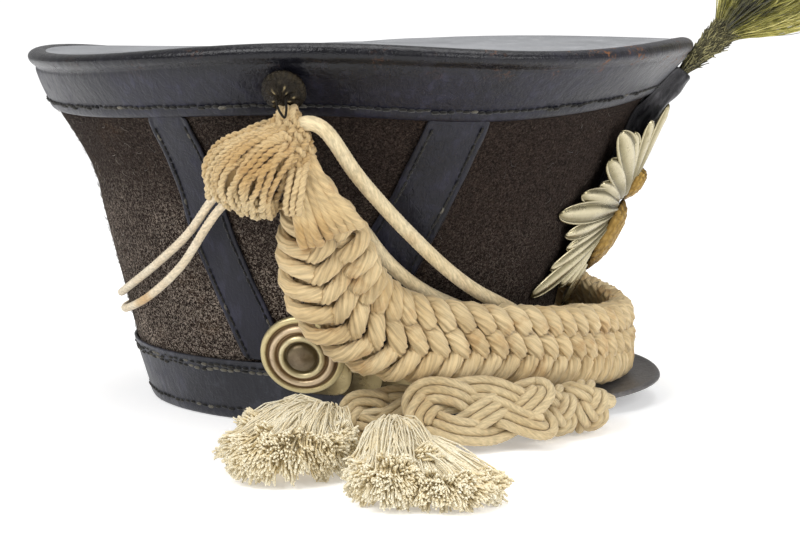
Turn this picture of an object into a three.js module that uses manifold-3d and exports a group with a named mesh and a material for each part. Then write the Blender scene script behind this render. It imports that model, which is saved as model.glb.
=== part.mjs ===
// Bell-topped shako with leather bands, brass chin scales, a rayed plate, a plume and plaited cap lines.
// Millimetres, +X to the front, -Y to the wearer's right, +Z up, the base resting on Z = 0.
import * as THREE from 'three';
import { mergeVertices } from 'three/addons/utils/BufferGeometryUtils.js';
import Module from 'manifold-3d';

const wasm = await Module();
wasm.setup();

// Thicknesses and clearances
const CLEARANCE = 0.5;
const SEAT = 0.3;
const FELT = 2.6;
const LEATHER = 1.6;
const AROUND = 34;

// Crown heights
const BASE_BAND_TOP = 28.3;
const TOP_BAND_EDGE = 135.6;
const WALL_KNEE = 150;
const WALL_TOP = 158;
const RIM_TOP = 162.4;
const RIM_TILT = 1.4;
const RIM_WAVE = 1.3;
const RIM_ROLL = 10.5;
const TOP_DOME = 2.5;
const BAND_PROUD = 0.2;
const RIM_SECTION = [{ down: 7, out: 2 }, { down: 3, out: 1.6 }, { down: 0.5, out: -1 }];
const RIM_LIP = { crest: 4, reach: 8, drop: 0.9, under: 2.3 };

// Felt wall, outside: reach to the back, the front and each side at each height
const WALL_SECTIONS = [
  { z: 0, back: 89.5, front: 88.5, side: 74.8 },
  { z: 28, back: 97.8, front: 95.0, side: 84.5 },
  { z: 57, back: 105.0, front: 102.0, side: 92.0 },
  { z: 85, back: 111.8, front: 112.0, side: 101.0 },
  { z: 104, back: 115.5, front: 120.0, side: 109.5 },
  { z: 120, back: 122.5, front: 127.5, side: 119.0 },
  { z: 135, back: 131.5, front: 134.5, side: 130.0 },
  { z: WALL_KNEE, back: 138.5, front: 147.0, side: 142.5 },
  { z: WALL_TOP, back: 141.5, front: 154.0, side: 148.5 },
];

// Side straps: angle of the centre line, from the front towards the side, at each height
const STRAP_WIDTH = 23;
const STRAP_FRONT = [
  { z: 30, angle: 82 },
  { z: 57, angle: 76 },
  { z: 85, angle: 70 },
  { z: 104, angle: 66.5 },
  { z: 120, angle: 64 },
  { z: 131.5, angle: 61.8 },
];
const STRAP_BACK = [
  { z: 30, angle: 101 },
  { z: 57, angle: 106.5 },
  { z: 85, angle: 111.5 },
  { z: 104, angle: 113.6 },
  { z: 120, angle: 114.3 },
  { z: 131.5, angle: 114.5 },
];

// Peak
const PEAK_SPAN = 52;
const PEAK_SWEEP = 100;
const PEAK_RADIUS = 57.5;
const PEAK_CENTRE = 89;
const PEAK_ROOT = 3.6;
const PEAK_LIFT = 2.6;
const PEAK_THICKNESS = 2.2;
const PEAK_BLUNT = 2.5;

// Chin bosses and scales
const BOSS_ANGLE = 91.5;
const BOSS_HEIGHT = 31;
const BOSS_LEAN = 16.5;
const BOSS_OFF = 2.6;
const BOSS_PROFILE = [
  [0, 0], [17.8, 0], [18.3, 2.2], [15.4, 4.2], [13.2, 2.8],
  [11.4, 4.8], [8.2, 3.4], [7, 5.6], [0, 7],
];
const SCALE_COUNT = 9;
const SCALES = { from: 76, to: 0.6, highCentre: 27, lowCentre: 17, wide: 12.5, narrow: 8.5 };

// Hook buttons
const BUTTON_HEIGHT = 149;
const BUTTON_LEAN = 28;
const BUTTON_OFF = 2.9;
const BUTTON_PROFILE = [
  [0, 0], [3, 0], [3, 1.8], [7.2, 2.4], [8.2, 4.4], [7.4, 7], [4.6, 9.4], [0, 10.4],
];
const WIRE = 1;
const WIRE_RING = 3.6;
const WIRE_OUT = 3.6;

// Plate and emblem
const PLATE_HEIGHT = 88;
const PLATE_LINE = { x: 110, z: 57.5, slope: 0.52 };
const PLATE_BEND = 47;
const PLATE_TIP_OFF = 0.6;
const PLATE_HUB = 18;
const STAR_POINTS = 8;
const RAY_LENGTHS = [53, 46, 39.5, 46];
const RAY_SHOULDER = { turn: 0.36, length: 0.86 };
const EMBLEM_LOBES = [
  { z: 76, tall: 17, wide: 13, high: 8.5 },
  { z: 99, tall: 7.5, wide: 7.5, high: 6.5 },
];

// Plume and its socket
const SOCKET_FOOT = new THREE.Vector3(136.4, 0, 129);
const SOCKET_MOUTH = new THREE.Vector3(155.9, 0, 151.6);
const SOCKET = { bore: 2.3, outside: 3.4 };
const STEM = { thin: 1.9, neck: 8, neckAt: 0.27 };
const PLUME_BEND = new THREE.Vector3(178.5, 0, 174.5);
const PLUME_TIP = new THREE.Vector3(284, 0, 282);
const PLUME_LOCKS = 8;
const PLUME_SPREAD = 25;

// Festoon, right half from the knot to the front: centre line and half width
const FESTOON_THICK = 7.2;
const FESTOON = [
  { x: 4.5, y: -149, z: 114.4, half: 8 },
  { x: 7.5, y: -144.5, z: 103.5, half: 12.5 },
  { x: 9, y: -138, z: 88, half: 16 },
  { x: 12, y: -129, z: 74, half: 17 },
  { x: 19, y: -120.5, z: 60.5, half: 17 },
  { x: 33, y: -112.5, z: 51, half: 16.5 },
  { x: 52, y: -104, z: 45.5, half: 16 },
  { x: 72, y: -92, z: 41.5, half: 16.5 },
  { x: 92, y: -75, z: 37.5, half: 17 },
  { x: 110, y: -50, z: 33, half: 17.5 },
  { x: 122, y: -25, z: 29.5, half: 17.8 },
  { x: 127.5, y: 0, z: 28.3, half: 18 },
];

// Festoon knots
const KNOT = { x: 2, y: 150.5, z: 127.3, radius: 12 };
const SKIRT_AXIS = new THREE.Vector3(-0.58, 0.02, -0.81).normalize();
const SKIRT = { length: 31, locks: 7, spread: 12.5, depth: 4, off: 12, thin: 4.4, thick: 5.6 };

// Cords: routes chosen by hand
const CORD_RADIUS = 2.9;
const BACK_CORD_RADIUS = 1.7;
const CORD_FRONT = [
  [15.2, -150, 129.5],
  [20.5, -149, 127.5],
  [25.6, -143, 122.6],
  [34.7, -131, 109.8],
  [44.9, -117, 93.7],
  [55.4, -102, 78.6],
  [66.4, -86, 64.9],
  [78.2, -70, 54.2],
  [91, -54, 42],
  [98, -46.5, 27],
  [100, -46.5, 17],
  [105, -53, 11.8],
  [116, -57.5, 11.4],
  [125, -63.5, 12],
  [127, -71.5, 12.4],
  [122.7, -75.4, 12.5],
];
const CORD_BACK = [
  [3.5, -136.6, 121.8],
  [9, -133.5, 112],
  [16, -127, 101],
  [25, -118.5, 92.3],
  [31.8, -110, 82.2],
  [42.7, -97.5, 71],
  [52.4, -86.8, 62.3],
  [68, -72.5, 52],
  [82, -59.5, 42],
  [89.4, -46.2, 31],
  [93, -42.5, 20],
  [93.6, -48.2, 12],
  [100, -59, 11.4],
  [108, -63, 11.8],
  [116.4, -64.6, 12.2],
  [120, -68.9, 12.5],
];
const CORD_BACK_END = [
  [58.8, -95.6, 17.2],
  [70, -90.4, 15],
  [80, -88.8, 13],
  [87.4, -93, 12.4],
];
const BACK_CORD_UPPER = [
  [-8.8, -146.6, 121.8],
  [-26, -143, 105.5],
  [-45.5, -119, 87],
  [-66, -91, 71.8],
  [-93.5, -50, 53.3],
  [-106.6, 0, 46.5],
];
const BACK_CORD_LOWER = [
  [-5, -145.9, 117.4],
  [-28, -139, 94.5],
  [-51.3, -112, 71.8],
  [-72.5, -82, 55.9],
  [-89.5, -57, 46.5],
  [-105.2, 0, 39.5],
];

// Slides, mats and tassels on the table
const SLIDE = { radius: 11.3, half: 8.4, x: 113, y: -79.5, z: 12 };
const SLIDE_AXIS = new THREE.Vector3(-0.76, -0.65, 0).normalize();
const MATS = {
  flounder_front: { from: [42.5, -120.5, 16.2], to: [92.2, -99, 16.6], half: 15.6, thick: 4.4, lean: 57 },
  flounder_back: { from: [14.5, -109.5, 11.2], to: [58, -96.4, 17], half: 10.4, thick: 4, lean: 60 },
};
const MAT_OUTLINE = [[0, 0.45], [0.07, 0.72], [0.2, 0.94], [0.5, 1], [0.8, 0.92], [0.93, 0.7], [1, 0.42]];
const TASSELS = {
  tassel_front: {
    head: [40, -131.8, 9.6],
    tips: [[32, -165], [40, -184], [53, -201], [66, -206], [82, -190], [62, -178], [48, -170]],
  },
  tassel_back: {
    head: [12.5, -121.5, 9.6],
    tips: [[-20, -145], [-21, -160], [-9, -173], [7, -177], [20, -166], [25, -150], [2, -158]],
  },
};
const TASSEL = { head: 9.2, root: 5, middle: 7.4, tip: 4.6, rise: 17 };

// Colours, roughness and metalness
const finish = (color, roughness, metalness = 0) =>
  new THREE.MeshStandardMaterial({ color, roughness, metalness });
const MATERIALS = {
  felt: finish(0x2e2721, 0.95),
  leather: finish(0x20242e, 0.42),
  topLeather: finish(0x6f7177, 0.6),
  peakLeather: finish(0x3c3f45, 0.5),
  brass: finish(0xa98c52, 0.35, 0.9),
  bronze: finish(0x3a3327, 0.4, 0.9),
  silver: finish(0xb9ad92, 0.3, 0.9),
  gilt: finish(0x9c7430, 0.4, 0.9),
  feather: finish(0x8a8a3c, 0.9),
  cord: finish(0xd9c59c, 0.9),
  fringe: finish(0xe6dcc0, 0.95),
};

const { clamp, degToRad, lerp, smoothstep } = THREE.MathUtils;
const vector = ([x, y, z]) => new THREE.Vector3(x, y, z);
const mirrored = ([x, y, z]) => [x, -y, z];

// Closed skins

function signedVolume(points, index) {
  let total = 0;
  for (let i = 0; i < index.length; i += 3) {
    const [a, b, c] = [points[index[i]], points[index[i + 1]], points[index[i + 2]]];
    total += a.dot(new THREE.Vector3().crossVectors(b, c)) / 6;
  }
  return total;
}

function skin(points, index) {
  const outward = signedVolume(points, index) > 0 ? index : index.slice().reverse();
  const geometry = new THREE.BufferGeometry().setFromPoints(points);
  geometry.setIndex(outward);
  return geometry;
}

// Rings of equal count become one skin: joined end to start, or closed by a fan at each end
function loft(rings, looped = false) {
  const count = rings[0].length;
  const points = rings.flat();
  const index = [];
  const spans = looped ? rings.length : rings.length - 1;
  for (let ring = 0; ring < spans; ring++) {
    const here = ring * count;
    const next = ((ring + 1) % rings.length) * count;
    for (let i = 0; i < count; i++) {
      const j = (i + 1) % count;
      index.push(here + i, here + j, next + j, here + i, next + j, next + i);
    }
  }
  if (!looped) {
    for (const [ring, turn] of [[0, -1], [rings.length - 1, 1]]) {
      const middle = new THREE.Vector3();
      rings[ring].forEach((point) => middle.addScaledVector(point, 1 / count));
      points.push(middle);
      for (let i = 0; i < count; i++) {
        const edge = [ring * count + i, ring * count + ((i + 1) % count)];
        index.push(...(turn > 0 ? edge : edge.reverse()), points.length - 1);
      }
    }
  }
  return skin(points, index);
}

function solidOf(geometry) {
  const bare = geometry.clone();
  bare.deleteAttribute('normal');
  bare.deleteAttribute('uv');
  const merged = mergeVertices(bare, 1e-4);
  const corners = Array.from(merged.index.array);
  const triVerts = [];
  for (let i = 0; i < corners.length; i += 3) {
    const triangle = corners.slice(i, i + 3);
    if (new Set(triangle).size === 3) {
      triVerts.push(...triangle);
    }
  }
  return new wasm.Manifold(new wasm.Mesh({
    numProp: 3,
    vertProperties: new Float32Array(merged.attributes.position.array),
    triVerts: new Uint32Array(triVerts),
  }));
}

function fuse(geometries) {
  const joined = geometries.map(solidOf).reduce((sum, solid) => sum.add(solid));
  const mesh = joined.getMesh();
  const geometry = new THREE.BufferGeometry();
  geometry.setAttribute('position', new THREE.BufferAttribute(mesh.vertProperties, mesh.numProp));
  geometry.setIndex(new THREE.BufferAttribute(mesh.triVerts, 1));
  return geometry;
}

// A round or flattened tube through stations, each with its place and two half axes
function tubeThrough(stations, sides) {
  return loft(stations.map(({ at, across, up }) => Array.from({ length: sides }, (_, i) => {
    const turn = (2 * Math.PI * i) / sides;
    return at.clone().addScaledVector(across, Math.cos(turn)).addScaledVector(up, Math.sin(turn));
  })));
}

// Stations of a lock of yarn or feather along a curve, with its radius from a function of the length
function lock(curve, radiusAt, steps, sides) {
  const frames = curve.computeFrenetFrames(steps, false);
  const stations = [];
  for (let i = 0; i <= steps; i++) {
    const radius = radiusAt(i / steps);
    stations.push({
      at: curve.getPointAt(i / steps),
      across: frames.normals[i].clone().multiplyScalar(radius),
      up: frames.binormals[i].clone().multiplyScalar(radius),
    });
  }
  return tubeThrough(stations, sides);
}

function lathe(profile, sides) {
  return new THREE.LatheGeometry(profile.map(([r, z]) => new THREE.Vector2(r, z)), sides);
}

// Turns a lathe's axis onto a direction and sets its foot on a point
function stand(geometry, foot, direction) {
  const turn = new THREE.Quaternion().setFromUnitVectors(new THREE.Vector3(0, 1, 0), direction);
  return geometry.applyQuaternion(turn).translate(foot.x, foot.y, foot.z);
}

// Crown

const wallCurve = new THREE.CubicInterpolant(
  WALL_SECTIONS.map((row) => row.z),
  WALL_SECTIONS.flatMap((row) => [row.back, row.front, row.side]),
  3,
);

// Point on the felt's outside at an angle from the front, moved out level by a distance
function wallPoint(angle, z, out = 0) {
  const [back, front, side] = wallCurve.evaluate(clamp(z, 0, WALL_TOP));
  const long = (front + back) / 2;
  const normal = new THREE.Vector2(Math.cos(angle) / long, Math.sin(angle) / side).normalize();
  return new THREE.Vector3(
    (front - back) / 2 + long * Math.cos(angle) + out * normal.x,
    side * Math.sin(angle) + out * normal.y,
    z,
  );
}

const rimHeight = (angle) => RIM_TOP + RIM_TILT * Math.cos(angle) + RIM_WAVE * Math.cos(4 * angle);
const bandEdge = (angle) => TOP_BAND_EDGE + RIM_TILT * Math.cos(angle) + RIM_WAVE * Math.cos(4 * angle);

// A wall all round the crown from its section at each angle: [height, distance out]
function wallRound(sectionAt) {
  const rings = [];
  for (let i = 0; i < AROUND; i++) {
    const angle = (2 * Math.PI * i) / AROUND;
    rings.push(sectionAt(angle).map(([z, out]) => wallPoint(angle, z, out)));
  }
  return loft(rings, true);
}

function crownBody() {
  return wallRound((angle) => {
    const levels = WALL_SECTIONS.map((row) => row.z);
    levels[0] = LEATHER + CLEARANCE;
    levels[levels.length - 1] = rimHeight(angle) - RIM_ROLL / 2;
    return [...levels.map((z) => [z, 0]), ...levels.reverse().map((z) => [z, -FELT])];
  });
}

function crownTop() {
  const reach = -3 * CLEARANCE;
  const rows = [0.5, 1];
  const levels = (angle, part) => lerp(RIM_TOP, rimHeight(angle), part) - RIM_ROLL / 2 + CLEARANCE;
  const dome = (part) => TOP_DOME * (1 - part * part);
  const ring = (part, lift) => Array.from({ length: AROUND }, (_, i) => {
    const angle = (2 * Math.PI * i) / AROUND;
    const edge = wallPoint(angle, WALL_TOP, reach);
    const middle = wallPoint(0, WALL_TOP).add(wallPoint(Math.PI, WALL_TOP)).multiplyScalar(0.5);
    const point = middle.lerp(edge, part);
    return point.setZ(levels(angle, part) + dome(part) + lift);
  });
  const under = rows.map((part) => ring(part, 0));
  const above = rows.map((part) => ring(part, LEATHER)).reverse();
  return loft([...under, ...above]);
}

function topBand() {
  const inside = CLEARANCE;
  const outside = CLEARANCE + LEATHER;
  return wallRound((angle) => {
    const top = rimHeight(angle);
    const edge = bandEdge(angle);
    return [
      [edge, outside + BAND_PROUD],
      [WALL_KNEE, outside],
      [top - RIM_ROLL, outside + BAND_PROUD],
      ...RIM_SECTION.map(({ down, out }) => [top - down, outside + out]),
      [top, inside - RIM_LIP.crest],
      [top - RIM_LIP.drop, -RIM_LIP.reach],
      [top - RIM_LIP.under, -RIM_LIP.reach],
      [top - RIM_LIP.under, inside],
      [top - RIM_ROLL / 2, inside],
      [WALL_KNEE, inside],
      [edge, inside],
    ];
  });
}

function baseBand() {
  const inside = CLEARANCE;
  const outside = CLEARANCE + LEATHER;
  return wallRound(() => [
    [0, outside - 0.3],
    [BASE_BAND_TOP / 2, outside],
    [BASE_BAND_TOP, outside],
    [BASE_BAND_TOP, inside],
    [BASE_BAND_TOP / 2, inside],
    [LEATHER, inside],
    [LEATHER, -FELT],
    [0, -FELT],
  ]);
}

function sideStrap(rows, side) {
  const across = 3;
  const rings = rows.map(({ z, angle }) => {
    const middle = degToRad(angle);
    const radius = wallPoint(middle, z).setZ(0).length();
    const half = STRAP_WIDTH / 2 / radius;
    const at = (step, out) => wallPoint(side * (middle - half + (2 * half * step) / across), z, out);
    const steps = Array.from({ length: across + 1 }, (_, step) => step);
    return [
      ...steps.map((step) => at(step, CLEARANCE)),
      ...steps.reverse().map((step) => at(step, CLEARANCE + LEATHER)),
    ];
  });
  return loft(rings);
}

function peak() {
  const stations = 21;
  const rings = [];
  for (let i = 0; i < stations; i++) {
    const part = (2 * i) / (stations - 1) - 1;
    const rootAngle = degToRad(PEAK_SPAN * part);
    const sweep = degToRad(PEAK_SWEEP * part);
    const rootTop = PEAK_ROOT + PEAK_THICKNESS;
    const root = wallPoint(rootAngle, rootTop, CLEARANCE + LEATHER + SEAT);
    const blunt = wallPoint(rootAngle, rootTop, CLEARANCE + LEATHER + SEAT + PEAK_BLUNT);
    const brim = new THREE.Vector3(
      PEAK_CENTRE + PEAK_RADIUS * Math.cos(sweep),
      PEAK_RADIUS * Math.sin(sweep),
      PEAK_ROOT,
    ).lerp(blunt, part ** 6);
    const rise = PEAK_LIFT * (1 - part * part);
    const middle = root.clone().lerp(brim, 0.5);
    const lifted = (point, up) => point.clone().setZ(PEAK_ROOT + up);
    rings.push([
      lifted(root, 0),
      lifted(middle, rise * 0.6),
      lifted(brim, rise),
      lifted(brim, rise + PEAK_THICKNESS),
      lifted(middle, rise * 0.6 + PEAK_THICKNESS),
      lifted(root, PEAK_THICKNESS),
    ]);
  }
  return loft(rings);
}

// Metal

function leaning(angle, degrees) {
  const lean = degToRad(degrees);
  const level = wallPoint(angle, 0, 1).sub(wallPoint(angle, 0));
  return level.multiplyScalar(Math.cos(lean)).setZ(-Math.sin(lean));
}

function boss(side) {
  const angle = side * degToRad(BOSS_ANGLE);
  const foot = wallPoint(angle, BOSS_HEIGHT, BOSS_OFF);
  return stand(lathe(BOSS_PROFILE, 18), foot, leaning(angle, BOSS_LEAN));
}

// One strip of scales: each lies over the next, so the outside steps like a saw
function chinScales(side) {
  const rings = [];
  for (let i = 0; i < SCALE_COUNT; i++) {
    for (const [part, out] of [[0, 1.2], [0.94, 2.8]]) {
      const along = (i + part) / SCALE_COUNT;
      const angle = side * degToRad(lerp(SCALES.from, SCALES.to, along));
      const centre = lerp(SCALES.highCentre, SCALES.lowCentre, smoothstep(along, 0, 0.6));
      const half = lerp(SCALES.wide, SCALES.narrow, along);
      const under = 2 * CLEARANCE + LEATHER;
      rings.push([
        wallPoint(angle, centre - half, under),
        wallPoint(angle, centre - half, under + out * 0.6),
        wallPoint(angle, centre, under + out),
        wallPoint(angle, centre + half, under + out * 0.6),
        wallPoint(angle, centre + half, under),
      ]);
    }
  }
  return loft(rings);
}

function hookButton(side) {
  const angle = side * degToRad(90);
  const foot = wallPoint(angle, BUTTON_HEIGHT, BUTTON_OFF);
  const dome = stand(lathe(BUTTON_PROFILE, 12), foot, leaning(angle, BUTTON_LEAN));
  const lowest = KNOT.z + KNOT.radius + SEAT;
  const ring = new THREE.TorusGeometry(WIRE_RING, WIRE, 6, 10).rotateX(Math.PI / 2);
  ring.translate(0, foot.y + side * WIRE_OUT, lowest + WIRE_RING + WIRE);
  return fuse([dome, ring]);
}

// Front of the felt at a sideways place and height
function frontX(y, z) {
  const [back, front, side] = wallCurve.evaluate(clamp(z, 0, WALL_TOP));
  return (front - back) / 2 + ((front + back) / 2) * Math.sqrt(1 - (y / side) ** 2);
}

// The plate's middle stands off the felt along a straight line, and its tips bend back to the felt
function platePoint(y, z, out = 0) {
  const standOff = PLATE_LINE.x + PLATE_LINE.slope * (z - PLATE_LINE.z) - frontX(0, z);
  const bend = Math.max(0, 1 - (y / PLATE_BEND) ** 2);
  return new THREE.Vector3(frontX(y, z) + PLATE_TIP_OFF + (standOff - PLATE_TIP_OFF) * bend + out, y, z);
}

function starPlate() {
  const rays = STAR_POINTS * RAY_LENGTHS.length;
  const outline = [];
  for (let ray = 0; ray < rays; ray++) {
    const length = RAY_LENGTHS[ray % RAY_LENGTHS.length];
    for (const turn of [-RAY_SHOULDER.turn, 0, RAY_SHOULDER.turn]) {
      outline.push({
        angle: (2 * Math.PI * (ray + turn)) / rays,
        radius: length * (turn === 0 ? 1 : RAY_SHOULDER.length),
      });
    }
  }
  const ring = (radiusOf, out) => outline.map(({ angle, radius }) => platePoint(
    radiusOf(radius) * Math.cos(angle),
    PLATE_HEIGHT + radiusOf(radius) * Math.sin(angle),
    out,
  ));
  const hub = () => PLATE_HUB;
  const tip = (radius) => radius;
  return loft([ring(hub, 0.6), ring(tip, 0), ring(tip, 1.2), ring(hub, 2.8)]);
}

function plateEmblem() {
  const lift = 4 + SEAT;
  const sides = 14;
  const domes = EMBLEM_LOBES.map(({ z, tall, wide, high }) => {
    const ring = (part, out) => Array.from({ length: sides }, (_, i) => {
      const turn = (2 * Math.PI * i) / sides;
      return platePoint(wide * part * Math.cos(turn), z + tall * part * Math.sin(turn), lift + out);
    });
    return loft([ring(1, 0), ring(0.95, high * 0.45), ring(0.7, high * 0.8), ring(0.3, high)]);
  });
  return fuse(domes);
}

// Plume

function plumeSocket() {
  const axis = SOCKET_MOUTH.clone().sub(SOCKET_FOOT);
  const length = axis.length();
  const { bore, outside } = SOCKET;
  const profile = [[bore, 0], [outside * 0.9, 0], [outside, length], [bore, length], [bore, 0]];
  return stand(lathe(profile, 12), SOCKET_FOOT, axis.normalize());
}

function plume() {
  const root = SOCKET_FOOT.clone().lerp(SOCKET_MOUTH, 0.2);
  const spine = new THREE.CatmullRomCurve3([root, SOCKET_MOUTH, PLUME_BEND, PLUME_TIP]);
  const neck = STEM.neckAt;
  const stemRadius = (part) => lerp(STEM.thin, STEM.neck, smoothstep(part, neck * 0.62, neck * 1.15));
  const core = lock(spine, (part) => stemRadius(part) * (1 - 0.85 * smoothstep(part, 0.6, 1)), 12, 8);
  const locks = Array.from({ length: PLUME_LOCKS }, (_, i) => {
    const turn = (2 * Math.PI * i) / PLUME_LOCKS;
    const side = new THREE.Vector3(0.72 * Math.cos(turn), Math.sin(turn), -0.7 * Math.cos(turn));
    const at = (part, spread) => spine.getPointAt(part).addScaledVector(side, spread * PLUME_SPREAD);
    const reach = 0.9 + 0.08 * Math.cos(3 * turn);
    const curve = new THREE.CatmullRomCurve3([
      at(neck * 0.98, 0.08),
      at(lerp(neck, reach, 0.4), 0.75),
      at(lerp(neck, reach, 0.75), 0.9),
      at(reach, 0.5),
    ]);
    return lock(curve, (part) => 2.5 + 8.5 * Math.sin(Math.PI * Math.min(part * 1.02, 0.97)), 4, 5);
  });
  return fuse([core, ...locks]);
}

// Cap lines

function festoon() {
  const left = FESTOON.slice(0, -1).reverse().map((row) => ({ ...row, y: -row.y }));
  const rows = [...FESTOON, ...left];
  const places = rows.map(({ x, y, z }) => new THREE.Vector3(x, y, z));
  const curve = new THREE.CatmullRomCurve3(places, false, 'centripetal');
  const steps = 1.5 * (rows.length - 1);
  const stations = [];
  for (let i = 0; i <= steps; i++) {
    const part = i / steps;
    const at = curve.getPoint(part);
    const along = curve.getTangent(part);
    const level = new THREE.Vector3(at.x, at.y, 0);
    const outward = level.clone().addScaledVector(along, -along.dot(level)).normalize();
    const row = part * (rows.length - 1);
    const low = Math.min(Math.floor(row), rows.length - 2);
    const half = lerp(rows[low].half, rows[low + 1].half, row - low);
    const thick = FESTOON_THICK * Math.min(1, 0.55 + half / 36);
    stations.push({
      at,
      across: new THREE.Vector3().crossVectors(along, outward).multiplyScalar(half),
      up: outward.multiplyScalar(thick),
    });
  }
  return tubeThrough(stations, 10);
}

function knotHead(side) {
  const head = new THREE.SphereGeometry(KNOT.radius, 12, 8).rotateX(Math.PI / 2);
  return head.translate(KNOT.x, side * KNOT.y, KNOT.z);
}

function tasselledKnot(side) {
  const centre = new THREE.Vector3(KNOT.x, side * KNOT.y, KNOT.z);
  const across = new THREE.Vector3(0.81, 0, -0.58);
  const away = new THREE.Vector3(0, side, 0);
  const locks = Array.from({ length: SKIRT.locks }, (_, i) => {
    const turn = (2 * Math.PI * i) / SKIRT.locks;
    const spread = across.clone().multiplyScalar(Math.cos(turn) * SKIRT.spread)
      .addScaledVector(away, Math.sin(turn) * SKIRT.depth + SKIRT.off);
    const curve = new THREE.CatmullRomCurve3([
      centre.clone().addScaledVector(spread, 0.2),
      centre.clone().addScaledVector(SKIRT_AXIS, SKIRT.length * 0.5).addScaledVector(spread, 0.8),
      centre.clone().addScaledVector(SKIRT_AXIS, SKIRT.length).add(spread),
    ]);
    return lock(curve, (part) => lerp(SKIRT.thin, SKIRT.thick, part), 2, 6);
  });
  return fuse([knotHead(side), ...locks]);
}

function cord(route, radius, steps) {
  const section = new THREE.Shape().absarc(0, 0, radius, 0, 2 * Math.PI);
  const extrudePath = new THREE.CatmullRomCurve3(route.map(vector));
  return new THREE.ExtrudeGeometry(section, { steps, extrudePath, curveSegments: 4 });
}

function backCord(route) {
  const left = route.slice(0, -1).reverse().map(mirrored);
  return cord([...route, ...left], BACK_CORD_RADIUS, 24);
}

function slide(order) {
  const { radius, half, x, y, z } = SLIDE;
  const profile = [
    [0, -half], [radius * 0.72, -half], [radius * 0.95, -half * 0.5], [radius, 0],
    [radius * 0.95, half * 0.5], [radius * 0.72, half], [0, half],
  ];
  const centre = new THREE.Vector3(x, y, z).addScaledVector(SLIDE_AXIS, order * (2 * half + SEAT));
  return stand(lathe(profile, 12), centre, SLIDE_AXIS);
}

function mat({ from, to, half, thick, lean }) {
  const start = vector(from);
  const end = vector(to);
  const along = end.clone().sub(start).normalize();
  const level = new THREE.Vector3(-along.y, along.x, 0).normalize();
  const slope = degToRad(lean);
  const up = level.multiplyScalar(Math.cos(slope)).add(new THREE.Vector3(0, 0, Math.sin(slope)));
  const face = new THREE.Vector3().crossVectors(along, up).normalize();
  return tubeThrough(MAT_OUTLINE.map(([part, wide]) => ({
    at: start.clone().lerp(end, part),
    across: up.clone().multiplyScalar(half * wide),
    up: face.clone().multiplyScalar(thick * (0.6 + 0.4 * wide)),
  })), 10);
}

function tassel({ head, tips }) {
  const centre = vector(head);
  const ball = new THREE.SphereGeometry(TASSEL.head, 8, 6).rotateX(Math.PI / 2).translate(...head);
  const locks = tips.map(([x, y], i) => {
    const tip = new THREE.Vector3(x, y, TASSEL.tip + 0.4);
    const middle = centre.clone().lerp(tip, 0.5).setZ(TASSEL.rise - 3 * (i % 2));
    const curve = new THREE.CatmullRomCurve3([centre, middle, tip]);
    const radius = (part) => lerp(
      lerp(TASSEL.root, TASSEL.middle, smoothstep(part, 0, 0.5)),
      TASSEL.tip,
      smoothstep(part, 0.5, 1),
    );
    return lock(curve, radius, 4, 6);
  });
  return fuse([ball, ...locks]);
}

// Assembly

function piece(name, geometry, material) {
  geometry.computeVertexNormals();
  const mesh = new THREE.Mesh(geometry, material);
  mesh.name = name;
  return mesh;
}

const SIDES = [['right', -1], ['left', 1]];
const hat = new THREE.Group();
hat.add(piece('crown_body', crownBody(), MATERIALS.felt));
hat.add(piece('crown_top', crownTop(), MATERIALS.topLeather));
hat.add(piece('top_band', topBand(), MATERIALS.leather));
hat.add(piece('base_band', baseBand(), MATERIALS.leather));
hat.add(piece('peak', peak(), MATERIALS.peakLeather));
for (const [name, side] of SIDES) {
  hat.add(piece(`side_strap_${name}_front`, sideStrap(STRAP_FRONT, side), MATERIALS.leather));
  hat.add(piece(`side_strap_${name}_back`, sideStrap(STRAP_BACK, side), MATERIALS.leather));
  hat.add(piece(`boss_${name}`, boss(side), MATERIALS.brass));
  hat.add(piece(`chin_scales_${name}`, chinScales(side), MATERIALS.brass));
  hat.add(piece(`hook_button_${name}`, hookButton(side), MATERIALS.bronze));
}
hat.add(piece('star_plate', starPlate(), MATERIALS.silver));
hat.add(piece('plate_emblem', plateEmblem(), MATERIALS.gilt));
hat.add(piece('plume_socket', plumeSocket(), MATERIALS.leather));
hat.add(piece('plume', plume(), MATERIALS.feather));
hat.add(piece('festoon', festoon(), MATERIALS.cord));
hat.add(piece('festoon_knot_right', tasselledKnot(-1), MATERIALS.cord));
hat.add(piece('festoon_knot_left', knotHead(1), MATERIALS.cord));
hat.add(piece('back_cord_upper', backCord(BACK_CORD_UPPER), MATERIALS.cord));
hat.add(piece('back_cord_lower', backCord(BACK_CORD_LOWER), MATERIALS.cord));

const looseLines = new THREE.Group();
looseLines.add(piece('cord_front', cord(CORD_FRONT, CORD_RADIUS, 24), MATERIALS.cord));
looseLines.add(piece('cord_back', cord(CORD_BACK, CORD_RADIUS, 24), MATERIALS.cord));
looseLines.add(piece('cord_back_end', cord(CORD_BACK_END, CORD_RADIUS, 6), MATERIALS.cord));
looseLines.add(piece('slide_back', slide(0), MATERIALS.cord));
looseLines.add(piece('slide_front', slide(1), MATERIALS.cord));
for (const [name, size] of Object.entries(MATS)) {
  looseLines.add(piece(name, mat(size), MATERIALS.cord));
}
for (const [name, size] of Object.entries(TASSELS)) {
  looseLines.add(piece(name, tassel(size), MATERIALS.fringe));
}

// The origin lies below the middle of the hat's box, without the loose lines
const middle = new THREE.Box3().setFromObject(hat).getCenter(new THREE.Vector3());
const shako = new THREE.Group();
shako.add(hat, looseLines);
hat.position.set(-middle.x, -middle.y, 0);
looseLines.position.copy(hat.position);

export default shako;
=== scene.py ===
"""Dressed model of a bell-topped shako: felt crown, leather bands, rayed plate, plume and plaited cap lines.

Sizes are in millimetres in the hat's own frame: +X to the front, -Y to the wearer's right, +Z up, and the
base on Z = 0. metres() moves points into the part's frame.
"""
import logging
import math
from collections.abc import Callable, Sequence
from dataclasses import dataclass, field
from enum import Enum

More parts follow.
